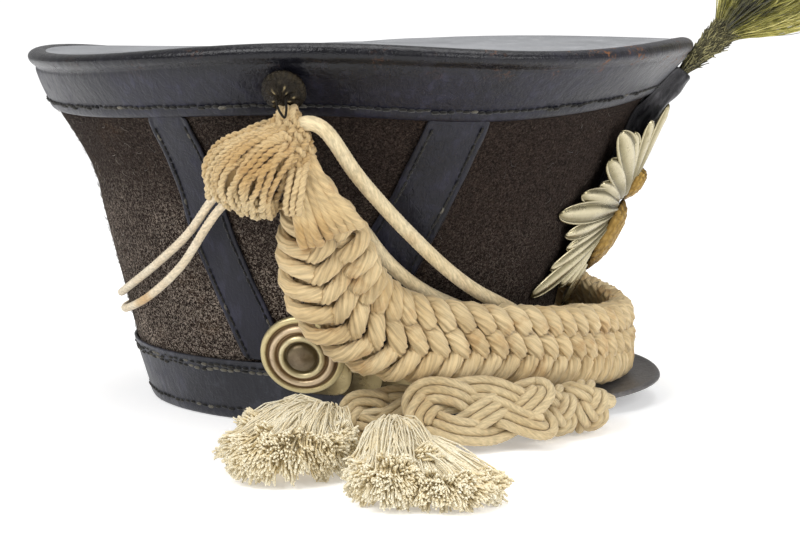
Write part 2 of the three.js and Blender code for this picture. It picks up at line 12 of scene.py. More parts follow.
import bmesh
import bpy
import numpy as np
from mathutils import Matrix, Vector


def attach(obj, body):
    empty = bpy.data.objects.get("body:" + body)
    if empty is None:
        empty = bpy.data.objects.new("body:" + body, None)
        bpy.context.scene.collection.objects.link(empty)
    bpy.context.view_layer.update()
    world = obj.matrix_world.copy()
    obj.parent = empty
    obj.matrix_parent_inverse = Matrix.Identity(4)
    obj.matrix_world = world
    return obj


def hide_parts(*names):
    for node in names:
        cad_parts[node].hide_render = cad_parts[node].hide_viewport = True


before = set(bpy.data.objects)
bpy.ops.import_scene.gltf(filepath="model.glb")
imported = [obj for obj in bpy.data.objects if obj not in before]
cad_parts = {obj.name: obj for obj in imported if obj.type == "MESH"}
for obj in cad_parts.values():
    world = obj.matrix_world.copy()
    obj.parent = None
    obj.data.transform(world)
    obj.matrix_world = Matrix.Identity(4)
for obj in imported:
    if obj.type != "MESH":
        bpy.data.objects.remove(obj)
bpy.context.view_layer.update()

LOG = logging.getLogger("shako")
Array = np.ndarray
Place = Callable[..., Array]
BMesh = bmesh.types.BMesh
Material = bpy.types.Material
Piece = bpy.types.Object
Socket = bpy.types.NodeSocket

SHIFT = np.array((-73.82383, 4.39116, 0.0))
MM = 0.001
BODY = "root"
STRAND_UV = "strand"
SHADE = "shade"
RING = "ring"
SIDES = (("right", -1), ("left", 1))
BRAID_PITCH = 4.2
BRAID_STRANDS = 4
FINE_CORD = {"sides": 12, "braid": 0.07, "pitch": 30.0}
ROPE_LAY = {"lobes": 2, "groove": 0.45, "pitch": 5.6}
SLIDE_AXIS = (-0.76, -0.65, 0.0)
SLIDE_PLACE = (113.0, -79.5, 12.0)
SLIDE_GAP = 17.1


def metres(points: Array) -> Array:
    """Moves points from the hat's frame in millimetres to the part's frame in metres."""
    return (np.asarray(points, float) + SHIFT) * MM


def unit(vectors: Array) -> Array:
    """Scales each vector to a length of one."""
    vectors = np.asarray(vectors, float)
    return vectors / np.maximum(np.linalg.norm(vectors, axis=-1, keepdims=True), 1e-12)


def smooth(low: float, high: float, value: Array) -> Array:
    """Smooth step from 0 at low to 1 at high."""
    part = np.clip((np.asarray(value, float) - low) / (high - low), 0.0, 1.0)
    return part * part * (3.0 - 2.0 * part)


def cubic(part: Array, low: Array, high: Array, leave: Array, reach: Array) -> Array:
    """Cubic from one value to the next.

    Args:
        part: place between the two, from 0 to 1.
        low: the first value.
        high: the second value.
        leave: slope at the first.
        reach: slope at the second.

    Returns:
        The value at each place.
    """
    square, cube = part * part, part ** 3
    return ((2 * cube - 3 * square + 1) * low + (cube - 2 * square + part) * leave
            + (3 * square - 2 * cube) * high + (cube - square) * reach)


def through_rows(at: Sequence[float], values: Array, where: Array) -> Array:
    """Cubic curve through rows of values, with the mean of the neighbouring slopes at each row.

    Args:
        at: the rows' positions, rising.
        values: one row of values for each position.
        where: positions to evaluate.

    Returns:
        One row of values for each position asked for.
    """
    at = np.asarray(at, float)
    values = np.asarray(values, float).reshape(len(at), -1)
    where = np.clip(np.atleast_1d(np.asarray(where, float)), at[0], at[-1])
    secant = np.diff(values, axis=0) / np.diff(at)[:, None]
    slope = np.vstack((secant[:1], 0.5 * (secant[1:] + secant[:-1]), secant[-1:]))
    low = np.clip(np.searchsorted(at, where, side="right") - 1, 0, len(at) - 2)
    span = (at[low + 1] - at[low])[:, None]
    part = (where - at[low])[:, None] / span
    return cubic(part, values[low], values[low + 1], span * slope[low], span * slope[low + 1])


def curve_through(points: Array, steps: int = 24) -> Array:
    """Centripetal spline through points.

    Args:
        points: the points, one a row.
        steps: samples in each span.

    Returns:
        The spline's samples.
    """
    points = np.asarray(points, float)
    whole = np.vstack((2 * points[0] - points[1], points, 2 * points[-1] - points[-2]))
    found = []
    for i in range(1, len(whole) - 2):
        a, b, c, d = whole[i - 1:i + 3]
        before, here, after = (max(np.linalg.norm(q - p) ** 0.5, 1e-4) for p, q in ((a, b), (b, c), (c, d)))
        leave = ((b - a) / before - (c - a) / (before + here) + (c - b) / here) * here
        reach = ((c - b) / here - (d - b) / (here + after) + (d - c) / after) * here
        part = np.linspace(0, 1, steps, endpoint=False)[:, None]
        found.append(cubic(part, b, c, leave, reach))
    return np.vstack((*found, points[-1:]))


def length_along(line: Array) -> Array:
    """Length from a line's start to each of its points."""
    return np.concatenate(([0.0], np.cumsum(np.linalg.norm(np.diff(line, axis=0), axis=1))))


def between_rows(where: Array, at: Array, values: Array) -> Array:
    """Values at places, straight from each row to the next."""
    return np.stack([np.interp(where, at, column) for column in values.T], -1)


def evenly(line: Array, step: float) -> Array:
    """Points along a line about a step apart.

    Args:
        line: points along the line.
        step: the distance between the new ones.

    Returns:
        The new points.
    """
    along = length_along(line)
    count = max(2, int(math.ceil(along[-1] / step)) + 1)
    return between_rows(np.linspace(0, along[-1], count), along, line)


def both_sides(right: Array) -> Array:
    """Adds the mirrored left half to a route that ends at the hat's middle.

    Args:
        right: the right half.

    Returns:
        The whole route.
    """
    left = right[-2::-1].copy()
    left[:, 1] *= -1
    return np.vstack((right, left))


def left_of(line: Array) -> Array:
    """Direction to the left of a flat line at each of its points."""
    return unit(np.gradient(line, axis=0))[:, ::-1] * np.array((-1.0, 1.0))


# Meshes

def shape_grid(bm: BMesh, columns: int, rows: int, place: Place, ring: Place | None = None) -> None:
    """Adds a grid to a mesh and moves each of its vertices to its place.

    Args:
        bm: the mesh.
        columns: faces along the first direction.
        rows: faces along the second direction.
        place: gives points in millimetres from the two positions, each from 0 to 1.
        ring: gives a value to keep on each vertex, from the same positions.
    """
    bm.loops.layers.uv.verify()
    layer = bm.verts.layers.float.get(RING) or bm.verts.layers.float.new(RING)
    verts = bmesh.ops.create_grid(bm, x_segments=columns, y_segments=rows, size=0.5, calc_uvs=True)["verts"]
    flat = np.array([v.co[:2] for v in verts])
    flat = (flat - flat.min(0)) / (flat.max(0) - flat.min(0))
    kept = ring(flat[:, 0], flat[:, 1]) if ring else np.zeros(len(flat))
    for vert, point, value in zip(verts, metres(place(flat[:, 0], flat[:, 1])), kept):
        vert.co = point
        vert[layer] = value


def close_up(bm: BMesh) -> BMesh:
    """Joins seams and poles, closes open ends and turns the faces outwards.

    Args:
        bm: the mesh.

    Returns:
        The same mesh.
    """
    bmesh.ops.remove_doubles(bm, verts=bm.verts, dist=2e-6)
    bmesh.ops.dissolve_degenerate(bm, edges=bm.edges, dist=1e-7)
    open_edges = [e for e in bm.edges if e.is_boundary]
    if open_edges:
        bmesh.ops.holes_fill(bm, edges=open_edges, sides=0)
    bmesh.ops.recalc_face_normals(bm, faces=bm.faces)
    return bm


def sweep(bm: BMesh, columns: int, section: Array, place: Place, ring: Place | None = None,
          closed: bool = True) -> None:
    """Sweeps a section and adds the surface to a mesh.

    Args:
        bm: the mesh.
        columns: faces along the sweep.
        section: a row of values for each of the section's corners.
        place: gives points in millimetres from the position along the sweep, 0 to 1, and the corners' values.
        ring: gives a value to keep on each vertex, from the same.
        closed: whether the last corner joins the first.
    """
    section = np.asarray(section, float)
    count = len(section) if closed else len(section) - 1

    def corner(v: Array) -> Array:
        """Gives the values at the section's corners."""
        return section[np.round(v * count).astype(int) % len(section)].T

    shape_grid(bm, columns, count, lambda u, v: place(u, *corner(v)),
               (lambda u, v: ring(u, *corner(v))) if ring else None)


def swept(columns: int, section: Array, place: Place, ring: Place | None = None,
          closed: bool = True) -> BMesh:
    """Sweeps a section into a closed mesh of its own.

    Args:
        columns: faces along the sweep.
        section: a row of values for each corner.
        place: gives the points, as for sweep.
        ring: gives a value to keep, as for sweep.
        closed: whether the last corner joins the first.

    Returns:
        The mesh.
    """
    bm = bmesh.new()
    sweep(bm, columns, section, place, ring, closed)
    return close_up(bm)


def turned(bm: BMesh, profile: Array, foot: Array, axis: Array, steps: int) -> None:
    """Spins a profile about an axis.

    Args:
        bm: the mesh to add to.
        profile: rows of radius and height, in millimetres.
        foot: the point at height 0 on the axis.
        axis: the direction of rising height.
        steps: faces in a full turn.
    """
    bm.loops.layers.uv.verify()
    layer = bm.verts.layers.float.get(RING) or bm.verts.layers.float.new(RING)
    axis = unit(axis)
    side = unit(np.cross(axis, (0.31, 0.2, 0.93)))
    rows = [bm.verts.new(metres(foot + axis * h + side * r)) for r, h in profile]
    for vert, (r, _) in zip(rows, profile):
        vert[layer] = r
    edges = [bm.edges.new(pair) for pair in zip(rows, rows[1:])]
    bmesh.ops.spin(bm, geom=[*rows, *edges], cent=metres(foot), axis=axis, angle=math.tau,
                   steps=steps, use_merge=True)


def add_piece(name: str, data: BMesh | bpy.types.Mesh, material: Material,
              replaces: Sequence[str] = (), subdivide: int = 0) -> Piece:
    """Makes a piece of the object, which rides on the hat.

    Args:
        name: the piece's name.
        data: its mesh.
        material: its finish.
        replaces: the solids that it stands for.
        subdivide: levels of subdivision surface.

    Returns:
        The new object.
    """
    if isinstance(data, BMesh):
        mesh = bpy.data.meshes.new(name)
        data.to_mesh(mesh)
        data.free()
    else:
        mesh = data
        mesh.name = name
    mesh.shade_smooth()
    mesh.materials.append(material)
    piece = bpy.data.objects.new(name, mesh)
    bpy.context.scene.collection.objects.link(piece)
    if subdivide:
        modifier = piece.modifiers.new("smooth", "SUBSURF")
        modifier.levels = subdivide
        modifier.render_levels = subdivide
    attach(piece, BODY)
    if replaces:
        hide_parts(*replaces)
    LOG.info("%s: %d faces", name, len(mesh.polygons))
    return piece


@dataclass
class Strands:
    """Tubes of yarn, cord or wire collected into one mesh.

    A tube may have lobes, the plies of a twisted cord, which turn once in each pitch.
    """

    verts: list[Array] = field(default_factory=list)
    quads: list[Array] = field(default_factory=list)
    caps: list[Array] = field(default_factory=list)
    uvs: list[Array] = field(default_factory=list)
    cap_uvs: list[Array] = field(default_factory=list)
    shades: list[Array] = field(default_factory=list)
    count: int = 0

    def add(self, paths: Array, radius: float | Array, sides: int = 8, lobes: int = 0, groove: float = 0.0,
            pitch: float = 0.0, shade: float | Array = 0.5, braid: float = 0.0,
            flat: tuple[Array, float, float] | None = None) -> None:
        """Adds tubes that have the same number of points.

        Args:
            paths: centre lines in millimetres, one or several.
            radius: radius, or one for each point.
            sides: sides of a tube.
            lobes: plies that show on its outside.
            groove: depth of the furrows between plies, as a share of the radius.
            pitch: length of a full turn of the plies.
            shade: value from 0 to 1 for each strand, or for each of its points.
            braid: height of a braided cord's relief, in millimetres.
            flat: direction out of the cloth at each point, and the tube's scale across it and along it.
        """
        paths = np.atleast_3d(np.asarray(paths, float))
        paths = paths.reshape(-1, *paths.shape[-2:]) if paths.shape[-1] == 3 else paths.transpose(2, 0, 1)
        number, points = paths.shape[:2]
        tangent = unit(np.gradient(paths, axis=1))
        start = np.eye(3)[np.abs(tangent[:, 0]).argmin(1)]
        normal = np.empty_like(paths)
        normal[:, 0] = unit(start - tangent[:, 0] * (start * tangent[:, 0]).sum(1)[:, None])
        for i in range(1, points):
            carried = normal[:, i - 1]
            normal[:, i] = unit(carried - tangent[:, i] * (carried * tangent[:, i]).sum(1)[:, None])
        side = np.cross(tangent, normal)
        steps = np.linalg.norm(np.diff(paths, axis=1), axis=2)
        along = np.concatenate((np.zeros((number, 1)), np.cumsum(steps, axis=1)), axis=1)
        corner = math.tau * np.arange(sides) / sides
        turn = corner[None, None, :] + (math.tau * along / pitch if pitch else 0 * along)[:, :, None]
        form = 1 - groove + groove * np.abs(np.cos(corner * lobes / 2)) ** 0.7 if lobes else np.ones(sides)
        reach = np.broadcast_to(np.asarray(radius, float), (number, points))[:, :, None] * form
        if braid:
            wave = along[:, :, None] * (math.tau / BRAID_PITCH)
            around = BRAID_STRANDS * turn
            reach = reach + braid * np.cos(around + wave) * np.cos(around - wave)
        offset = reach[..., None] * (
            np.cos(turn)[..., None] * normal[:, :, None] + np.sin(turn)[..., None] * side[:, :, None])
        if flat is not None:
            facing = np.asarray(flat[0]).reshape(number, points, 1, 3)
            depth = (offset * facing).sum(-1, keepdims=True) * facing
            offset = flat[1] * (offset - depth) + flat[2] * depth
        rings = paths[:, :, None] + offset
        index = self.count + np.arange(number * points * sides).reshape(number, points, sides)
        ahead = np.roll(index, -1, axis=2)
        quads = np.stack((index[:, :-1], ahead[:, :-1], ahead[:, 1:], index[:, 1:]), axis=-1)
        here = np.broadcast_to((along / 10)[:, :, None], index.shape)
        round_low = np.broadcast_to(np.arange(sides) / sides, index.shape)
        round_high = round_low + 1 / sides
        near, far = slice(None, -1), slice(1, None)
        corners = ((near, round_low), (near, round_high), (far, round_high), (far, round_low))
        uv = np.stack([np.stack((here[:, part], around[:, part]), -1) for part, around in corners], axis=-2)
        self.verts.append(rings.reshape(-1, 3))
        self.quads.append(quads.reshape(-1, 4))
        self.uvs.append(uv.reshape(-1, 2))
        for ends in (index[:, 0, ::-1], index[:, -1]):
            self.caps.append(ends)
            self.cap_uvs.append(np.zeros((ends.size, 2)))
        value = np.asarray(shade, float)
        value = np.repeat(value, sides, axis=1) if value.ndim == 2 else value.reshape(-1, 1)
        self.shades.append(np.broadcast_to(value, (number, points * sides)).reshape(-1))
        self.count += number * points * sides

    def mesh(self) -> bpy.types.Mesh:
        """Makes the mesh, with each strand's own coordinates and shade.

        Returns:
            The mesh.
        """
        mesh = bpy.data.meshes.new("strands")
        faces = np.vstack(self.quads).tolist()
        for ends in self.caps:
            faces.extend(ends.tolist())
        mesh.from_pydata(metres(np.vstack(self.verts)).tolist(), [], faces)
        layer = mesh.uv_layers.new(name=STRAND_UV)
        layer.data.foreach_set("uv", np.vstack((*self.uvs, *self.cap_uvs)).astype(np.float32).ravel())
        shade = mesh.attributes.new(SHADE, "FLOAT", "POINT")
        shade.data.foreach_set("value", np.concatenate(self.shades).astype(np.float32))
        return mesh


# Finishes

class Nodes:
    """Short hand for filling one node tree."""

    def __init__(self, tree: bpy.types.NodeTree) -> None:
        """Keeps the tree."""
        self.tree = tree

    def add(self, kind: str, inputs: dict | None = None, **settings: object) -> bpy.types.Node:
        """Adds a node.

        Args:
            kind: the node's type name without the Shader prefix.
            inputs: values or sockets for its inputs, by name or number.
            settings: the node's own properties.

        Returns:
            The node.
        """
        node = self.tree.nodes.new(kind if kind.startswith("Node") else "ShaderNode" + kind)
        for name, value in settings.items():
            setattr(node, name, value)
        for key, value in (inputs or {}).items():
            if isinstance(value, Socket):
                self.tree.links.new(value, node.inputs[key])
            else:
                node.inputs[key].default_value = value
        return node

    def mix(self, share: object, low: object, high: object, blend: str = "MIX") -> Socket:
        """Mixes two colours and gives the result's socket."""
        return self.add("Mix", {0: share, 6: low, 7: high}, data_type="RGBA", blend_type=blend).outputs[2]

    def math(self, operation: str, *values: object) -> Socket:
        """Works out one number and gives its socket."""
        return self.add("Math", dict(enumerate(values)), operation=operation).outputs[0]

    def times(self, first: object, second: object) -> Socket:
        """Multiplies two numbers and gives the result's socket."""
        return self.math("MULTIPLY", first, second)

    def times_plus(self, first: object, second: object, third: object) -> Socket:
        """Multiplies two numbers, adds a third and gives the result's socket."""
        return self.math("MULTIPLY_ADD", first, second, third)

    def span(self, value: object, low: float, high: float, to_low: float = 0, to_high: float = 1) -> Socket:
        """Maps a range of values smoothly onto another and gives the result's socket."""
        return self.add("MapRange", {0: value, 1: low, 2: high, 3: to_low, 4: to_high},
                        interpolation_type="SMOOTHSTEP").outputs[0]

    def ramp(self, value: object, stops: Sequence[tuple[float, tuple]]) -> Socket:
        """Turns a value into a colour.

        Args:
            value: a number or a socket.
            stops: places from 0 to 1 with their colours.

        Returns:
            The colour's socket.
        """
        node = self.add("ValToRGB", {0: value})
        elements = node.color_ramp.elements
        while len(elements) < len(stops):
            elements.new(0.5)
        for element, (position, colour) in zip(elements, stops):
            element.position = position
            element.color = (*colour, 1)
        return node.outputs[0]


class Effect(Enum):
    """Shader node groups that several finishes share."""

    MOTTLE = "mottling"
    GRAIN = "leather_grain"
    FIBRE = "yarn_fibres"


def effect_group(effect: Effect) -> bpy.types.NodeTree:
    """Gives the node group of an effect, built once.

    Args:
        effect: which effect.

    Returns:
        The node group.
    """
    if effect.value in bpy.data.node_groups:
        return bpy.data.node_groups[effect.value]
    group = bpy.data.node_groups.new(effect.value, "ShaderNodeTree")
    sockets = {
        Effect.MOTTLE: (("Scale", 100.0), ("Low", 0.35), ("High", 0.65)),
        Effect.GRAIN: (("Scale", 700.0),),
        Effect.FIBRE: (("Along", 6.0), ("Round", 9.0), ("Slant", 3.0)),
    }[effect]
    for name, value in sockets:
        socket = group.interface.new_socket(name, in_out="INPUT", socket_type="NodeSocketFloat")
        socket.default_value = value
    if effect is Effect.MOTTLE:
        stretch = group.interface.new_socket("Stretch", in_out="INPUT", socket_type="NodeSocketVector")
        stretch.default_value = (1, 1, 1)
    outputs = {Effect.MOTTLE: ("Mask",), Effect.GRAIN: ("Height", "Crackle"), Effect.FIBRE: ("Height",)}
    for name in outputs[effect]:
        group.interface.new_socket(name, in_out="OUTPUT", socket_type="NodeSocketFloat")
    nodes = Nodes(group)
    given = nodes.add("NodeGroupInput").outputs
    if effect is Effect.MOTTLE:
        place = nodes.add("TexCoord").outputs["Object"]
        place = nodes.add("Mapping", {"Vector": place, "Scale": given["Stretch"]}).outputs[0]
        noise = nodes.add("TexNoise",
                          {"Vector": place, "Scale": given["Scale"], "Detail": 7.0, "Roughness": 0.62})
        mask = nodes.add("MapRange", {0: noise.outputs[0], 1: given["Low"], 2: given["High"]},
                         interpolation_type="SMOOTHSTEP")
        nodes.add("NodeGroupOutput", {"Mask": mask.outputs[0]})
    elif effect is Effect.GRAIN:
        place = nodes.add("TexCoord").outputs["Object"]
        warp = nodes.add("TexNoise", {"Vector": place, "Scale": 260.0, "Detail": 3.0})
        bent = nodes.add("VectorMath", {0: warp.outputs[1], "Scale": 0.002}, operation="SCALE").outputs[0]
        bent = nodes.add("VectorMath", {0: place, 1: bent}, operation="ADD").outputs[0]
        cells = nodes.add("TexVoronoi", {"Vector": bent, "Scale": given["Scale"]}, feature="SMOOTH_F1")
        cracks = nodes.add("TexVoronoi", {"Vector": bent, "Scale": nodes.times(given["Scale"], 0.28)},
                           feature="DISTANCE_TO_EDGE")
        crackle = nodes.span(cracks.outputs["Distance"], 0.0, 0.06, 1, 0)
        fine = nodes.add("TexNoise", {"Vector": place, "Scale": 1900.0, "Detail": 4.0})
        height = nodes.times_plus(fine.outputs[0], 0.45, cells.outputs["Distance"])
        nodes.add("NodeGroupOutput", {"Height": height, "Crackle": crackle})
    else:
        place = nodes.add("UVMap", uv_map=STRAND_UV).outputs[0]
        parts = nodes.add("SeparateXYZ", {0: place}).outputs
        lean = nodes.times_plus(parts[0], given["Slant"], parts[1])
        along = nodes.times(parts[0], given["Along"])
        round_about = nodes.times(lean, given["Round"])
        at = nodes.add("CombineXYZ", {0: along, 1: round_about}).outputs[0]
        noise = nodes.add("TexNoise", {"Vector": at, "Scale": 1.0, "Detail": 5.0, "Roughness": 0.6})
        nodes.add("NodeGroupOutput", {"Height": noise.outputs[0]})
    return group


@dataclass(frozen=True)
class Finish:
    """A finish of the hat, with its name and its Principled values."""

    name: str
    roughness: float = 0.5
    metallic: float = 0.0

    def start(self, **values: object) -> tuple[Material, Nodes, bpy.types.Node]:
        """Starts the material.

        Args:
            values: plain values for the shader's inputs, with underscores for spaces.

        Returns:
            The material, its nodes and its shader.
        """
        material = bpy.data.materials.new(self.name)
        material.use_nodes = True
        shader = material.node_tree.nodes["Principled BSDF"]
        shader.inputs["Roughness"].default_value = self.roughness
        shader.inputs["Metallic"].default_value = self.metallic
        for name, value in values.items():
            shader.inputs[name.replace("_", " ")].default_value = value
        return material, Nodes(material.node_tree), shader

    @staticmethod
    def effect(nodes: Nodes, effect: Effect, **inputs: object) -> bpy.types.Node:
        """Places an effect's group with its own values."""
        return nodes.add("Group", inputs, node_tree=effect_group(effect))

    def mottling(self, nodes: Nodes, scale: float, low: float, high: float, **inputs: object) -> Socket:
        """Places the mottling group and gives its mask's socket."""
        return self.effect(nodes, Effect.MOTTLE, Scale=scale, Low=low, High=high, **inputs).outputs[0]

    @staticmethod
    def bump(nodes: Nodes, shader: bpy.types.Node, height: object, strength: float, distance: float) -> None:
        """Feeds a height to the shader's normal."""
        node = nodes.add("Bump", {"Height": height, "Strength": strength, "Distance": distance})
        nodes.tree.links.new(node.outputs[0], shader.inputs["Normal"])

    @staticmethod
    def feed(nodes: Nodes, shader: bpy.types.Node, **sockets: Socket) -> None:
        """Links sockets to the shader's inputs, with underscores for spaces."""
        for name, socket in sockets.items():
            nodes.tree.links.new(socket, shader.inputs[name.replace("_", " ")])


@dataclass(frozen=True)
class FeltFinish(Finish):
    """Matted hair felt: dark, flecked with pale and rusty hairs."""

    name: str = "felt"
    roughness: float = 0.95

    def material(self) -> Material:
        """Builds the material.

        Returns:
            The material.
        """
        material, nodes, shader = self.start(Specular_IOR_Level=0.06)
        place = nodes.add("TexCoord").outputs["Object"]
        hair = nodes.add("TexNoise", {"Vector": place, "Scale": 1050.0, "Detail": 5.0, "Roughness": 0.75,
                                      "Distortion": 0.8}).outputs[0]
        fleck = nodes.add("TexNoise", {"Vector": place, "Scale": 1150.0, "Detail": 2.0, "Roughness": 0.6,
                                       "Distortion": 1.2}).outputs[0]
        base = nodes.ramp(hair, ((0.36, (0.0035, 0.0023, 0.002)), (0.47, (0.014, 0.0092, 0.0076)),
                                 (0.55, (0.034, 0.0235, 0.0195)), (0.66, (0.072, 0.052, 0.042))))
        worn = self.mottling(nodes, 24.0, 0.42, 0.66)
        parts = nodes.add("SeparateXYZ", {0: place}).outputs
        behind = nodes.span(parts[0], -0.03, -0.14, 0.14, 1)
        low = nodes.span(parts[2], 0.125, 0.035, 0.12, 1.1)
        before = nodes.span(parts[0], 0.06, 0.11, 0, 0.42)
        where = nodes.math("MAXIMUM", nodes.times(behind, low), before)
        thin = nodes.times(nodes.times_plus(worn, 0.5, 0.5), where)
        light = nodes.times(nodes.span(fleck, 0.5, 0.6), nodes.times_plus(thin, 1.0, 0.03))
        base = nodes.mix(light, base, (0.56, 0.465, 0.38, 1))
        rust = self.mottling(nodes, 34.0, 0.5, 0.72)
        rusty = nodes.times(nodes.times(rust, behind), nodes.span(hair, 0.4, 0.6))
        base = nodes.mix(nodes.times(rusty, 0.5), base, (0.13, 0.07, 0.03, 1))
        self.feed(nodes, shader, Base_Color=base)
        height = nodes.times_plus(fleck, 0.6, hair)
        self.bump(nodes, shader, height, 0.9, 0.0016)
        return material


@dataclass(frozen=True)
class LeatherFinish(Finish):
    """Blackened leather with grain, creases, scuffs and wear that shows the hide."""

    roughness: float = 0.4
    specular: float = 0.26
    deep: tuple = (0.004, 0.004, 0.0075)
    scuffed: tuple = (0.019, 0.0188, 0.034)
    rubbed: float = 0.0
    hide: tuple = (0.20, 0.075, 0.022)
    wear_low: float = 0.148
    wear_high: float = 0.158
    wear: float = 0.8
    crease: tuple = (1.0, 1.0, 0.06)
    creasing: float = 0.5
    streaks: float = 0.4
    grain: float = 0.3

    def material(self) -> Material:
        """Builds the material.

        Returns:
            The material.
        """
        material, nodes, shader = self.start(Specular_IOR_Level=self.specular)
        forward, _, height_up = nodes.add("SeparateXYZ", {0: nodes.add("TexCoord").outputs["Object"]}).outputs
        broad = self.mottling(nodes, 26.0, 0.3, 0.72)
        scuff = self.mottling(nodes, 150.0, 0.5, 0.78)
        half_way = (0.5 * (a + b) for a, b in zip(self.deep, self.scuffed))
        base = nodes.mix(broad, (*self.deep, 1), (*half_way, 1))
        base = nodes.mix(nodes.times(scuff, 0.7), base, (*self.scuffed, 1))
        folds = self.mottling(nodes, 240.0, 0.3, 0.7, Stretch=self.crease)
        streak = nodes.times(nodes.span(folds, 0.55, 0.95, 0, self.streaks), broad)
        base = nodes.mix(streak, base, (*(2.2 * c for c in self.scuffed), 1))
        grain = self.effect(nodes, Effect.GRAIN, Scale=900.0)
        base = nodes.mix(nodes.times(grain.outputs["Crackle"], 0.12), base, (0.004, 0.004, 0.006, 1))
        zone = nodes.span(height_up, self.wear_low, self.wear_high)
        rubbing = nodes.times(nodes.span(forward, 0.045, 0.135, 0, self.rubbed), broad)
        base = nodes.mix(rubbing, base, (0.058, 0.056, 0.064, 1))
        blackened = nodes.times(nodes.span(forward, 0.0, 0.07, 0.85 * self.rubbed, 0), zone)
        base = nodes.mix(blackened, base, (0.004, 0.004, 0.0045, 1))
        pale = nodes.times(nodes.span(forward, 0.03, 0.13, 0.03 * self.rubbed, self.rubbed), zone)
        base = nodes.mix(nodes.times(pale, nodes.span(scuff, 0, 0.6, 0.45, 1)), base, (0.15, 0.145, 0.13, 1))
        chips = self.mottling(nodes, 70.0, 0.54, 0.66)
        fine_chips = self.mottling(nodes, 620.0, 0.5, 0.6)
        past_back = nodes.span(forward, -0.02, 0.06, 0.12, 1)
        before_front = nodes.span(forward, 0.1, 0.135, 1, 0.12)
        bare = nodes.times(nodes.times(chips, fine_chips), nodes.times(zone, self.wear))
        bare = nodes.times(bare, nodes.times(past_back, before_front))
        base = nodes.mix(bare, base, (*self.hide, 1))
        rough = nodes.times_plus(scuff, 0.22, nodes.times_plus(broad, 0.12, self.roughness - 0.1))
        rough = nodes.times_plus(bare, 0.3, rough)
        rough = nodes.times_plus(zone, -0.06 * self.rubbed, rough)
        rough = nodes.times_plus(blackened, -0.14, rough)
        self.feed(nodes, shader, Base_Color=base, Roughness=rough)
        skin = nodes.times(grain.outputs["Height"], self.grain)
        height = nodes.times_plus(folds, self.creasing, skin)
        height = nodes.times_plus(grain.outputs["Crackle"], -0.15, height)
        height = nodes.times_plus(bare, -0.7, height)
        self.bump(nodes, shader, height, 0.6, 0.0005)
        return material


@dataclass(frozen=True)
class MetalFinish(Finish):
    """Old metal with tarnish; a tone kept on each vertex gives the boss its coloured rings and gives the
    other pieces painted highlights on the high places and painted shade in the low ones.
    """

    metallic: float = 0.92
    specular: float = 0.5
    roughness: float = 0.32
    bright: tuple = (0.62, 0.5, 0.27)
    dull: tuple = (0.3, 0.22, 0.10)
    tarnish: tuple = (0.06, 0.035, 0.018)
    amount: float = 0.5
    rings: tuple = ()
    pitting: float = 0.12

    def material(self) -> Material:
        """Builds the material.

        Returns:
            The material.
        """
        material, nodes, shader = self.start(Specular_IOR_Level=self.specular)
        cloud = self.mottling(nodes, 110.0, 0.36, 0.7)
        spots = self.mottling(nodes, 420.0, 0.55, 0.75)
        base = nodes.mix(cloud, (*self.bright, 1), (*self.dull, 1))
        # The kept tone: the boss's coloured rings, or painted highlight and painted shade on the other
        # pieces.
        if self.rings:
            ring = nodes.add("Attribute", attribute_name=RING).outputs["Fac"]
            widest = self.rings[-1][0]
            tone = nodes.ramp(nodes.math("DIVIDE", ring, widest), [(r / widest, c) for r, c in self.rings])
            base = nodes.mix(0.8, base, tone)
        base = nodes.mix(nodes.times(spots, self.amount), base, (*self.tarnish, 1))
        rough = nodes.times_plus(cloud, 0.14, nodes.times_plus(spots, 0.25, self.roughness - 0.07))
        self.feed(nodes, shader, Base_Color=base, Roughness=rough)
        fine = self.mottling(nodes, 900.0, 0.3, 0.7)
        height = nodes.times_plus(cloud, 0.6, fine)
        self.bump(nodes, shader, height, self.pitting, 0.0004)
        return material


@dataclass(frozen=True)
class YarnFinish(Finish):
    """Cotton yarn: cream with stains, fibres that run with the strand, and a painted glow in the deep colour
    that lifts its shade where asked.
    """

    roughness: float = 0.92
    pale: tuple = (0.55, 0.42, 0.225)
    deep: tuple = (0.43, 0.295, 0.13)
    stain: tuple = (0.34, 0.185, 0.062)
    stains: float = 0.55
    knot: float = 0.0
    along: float = 4.0
    around: float = 9.0
    slant: float = 1.5
    relief: float = 0.5
    mottle: float = 0.5
    # Strength of a painted glow in the deep colour, which lifts the shade between yarns as if light came
    # through them.
    through: float = 0.0

    def material(self) -> Material:
        """Builds the material.

        Returns:
            The material.
        """
        # The emission in the deep colour is that painted glow; it is off unless through is set.
        material, nodes, shader = self.start(Sheen_Weight=0.15, Specular_IOR_Level=0.25,
                                             Emission_Color=(*self.deep, 1), Emission_Strength=self.through)
        fibre = self.effect(nodes, Effect.FIBRE, Along=self.along, Round=self.around,
                            Slant=self.slant).outputs[0]
        broad = self.mottling(nodes, 48.0, 0.38, 0.66)
        shade = nodes.add("Attribute", attribute_name=SHADE).outputs["Fac"]
        tone = nodes.times_plus(shade, 1 - self.mottle, nodes.times(broad, self.mottle))
        base = nodes.mix(tone, (*self.pale, 1), (*self.deep, 1))
        patch = self.mottling(nodes, 75.0, 0.52, 0.72)
        amount = nodes.times(patch, self.stains)
        if self.knot:
            place = nodes.add("TexCoord").outputs["Object"]
            near = nodes.span(nodes.add("SeparateXYZ", {0: place}).outputs[2], 0.085, 0.125, 0, self.knot)
            amount = nodes.math("MAXIMUM", amount, nodes.times(near, nodes.span(patch, 0, 0.7, 0.45, 1)))
        base = nodes.mix(amount, base, (*self.stain, 1))
        lines = nodes.span(fibre, 0.25, 0.7, 0.64, 1.1)
        grey = nodes.add("CombineColor", {0: lines, 1: lines, 2: lines}).outputs[0]
        base = nodes.mix(1.0, base, grey, "MULTIPLY")
        self.feed(nodes, shader, Base_Color=base)
        self.bump(nodes, shader, fibre, self.relief, 0.0006)
        return material


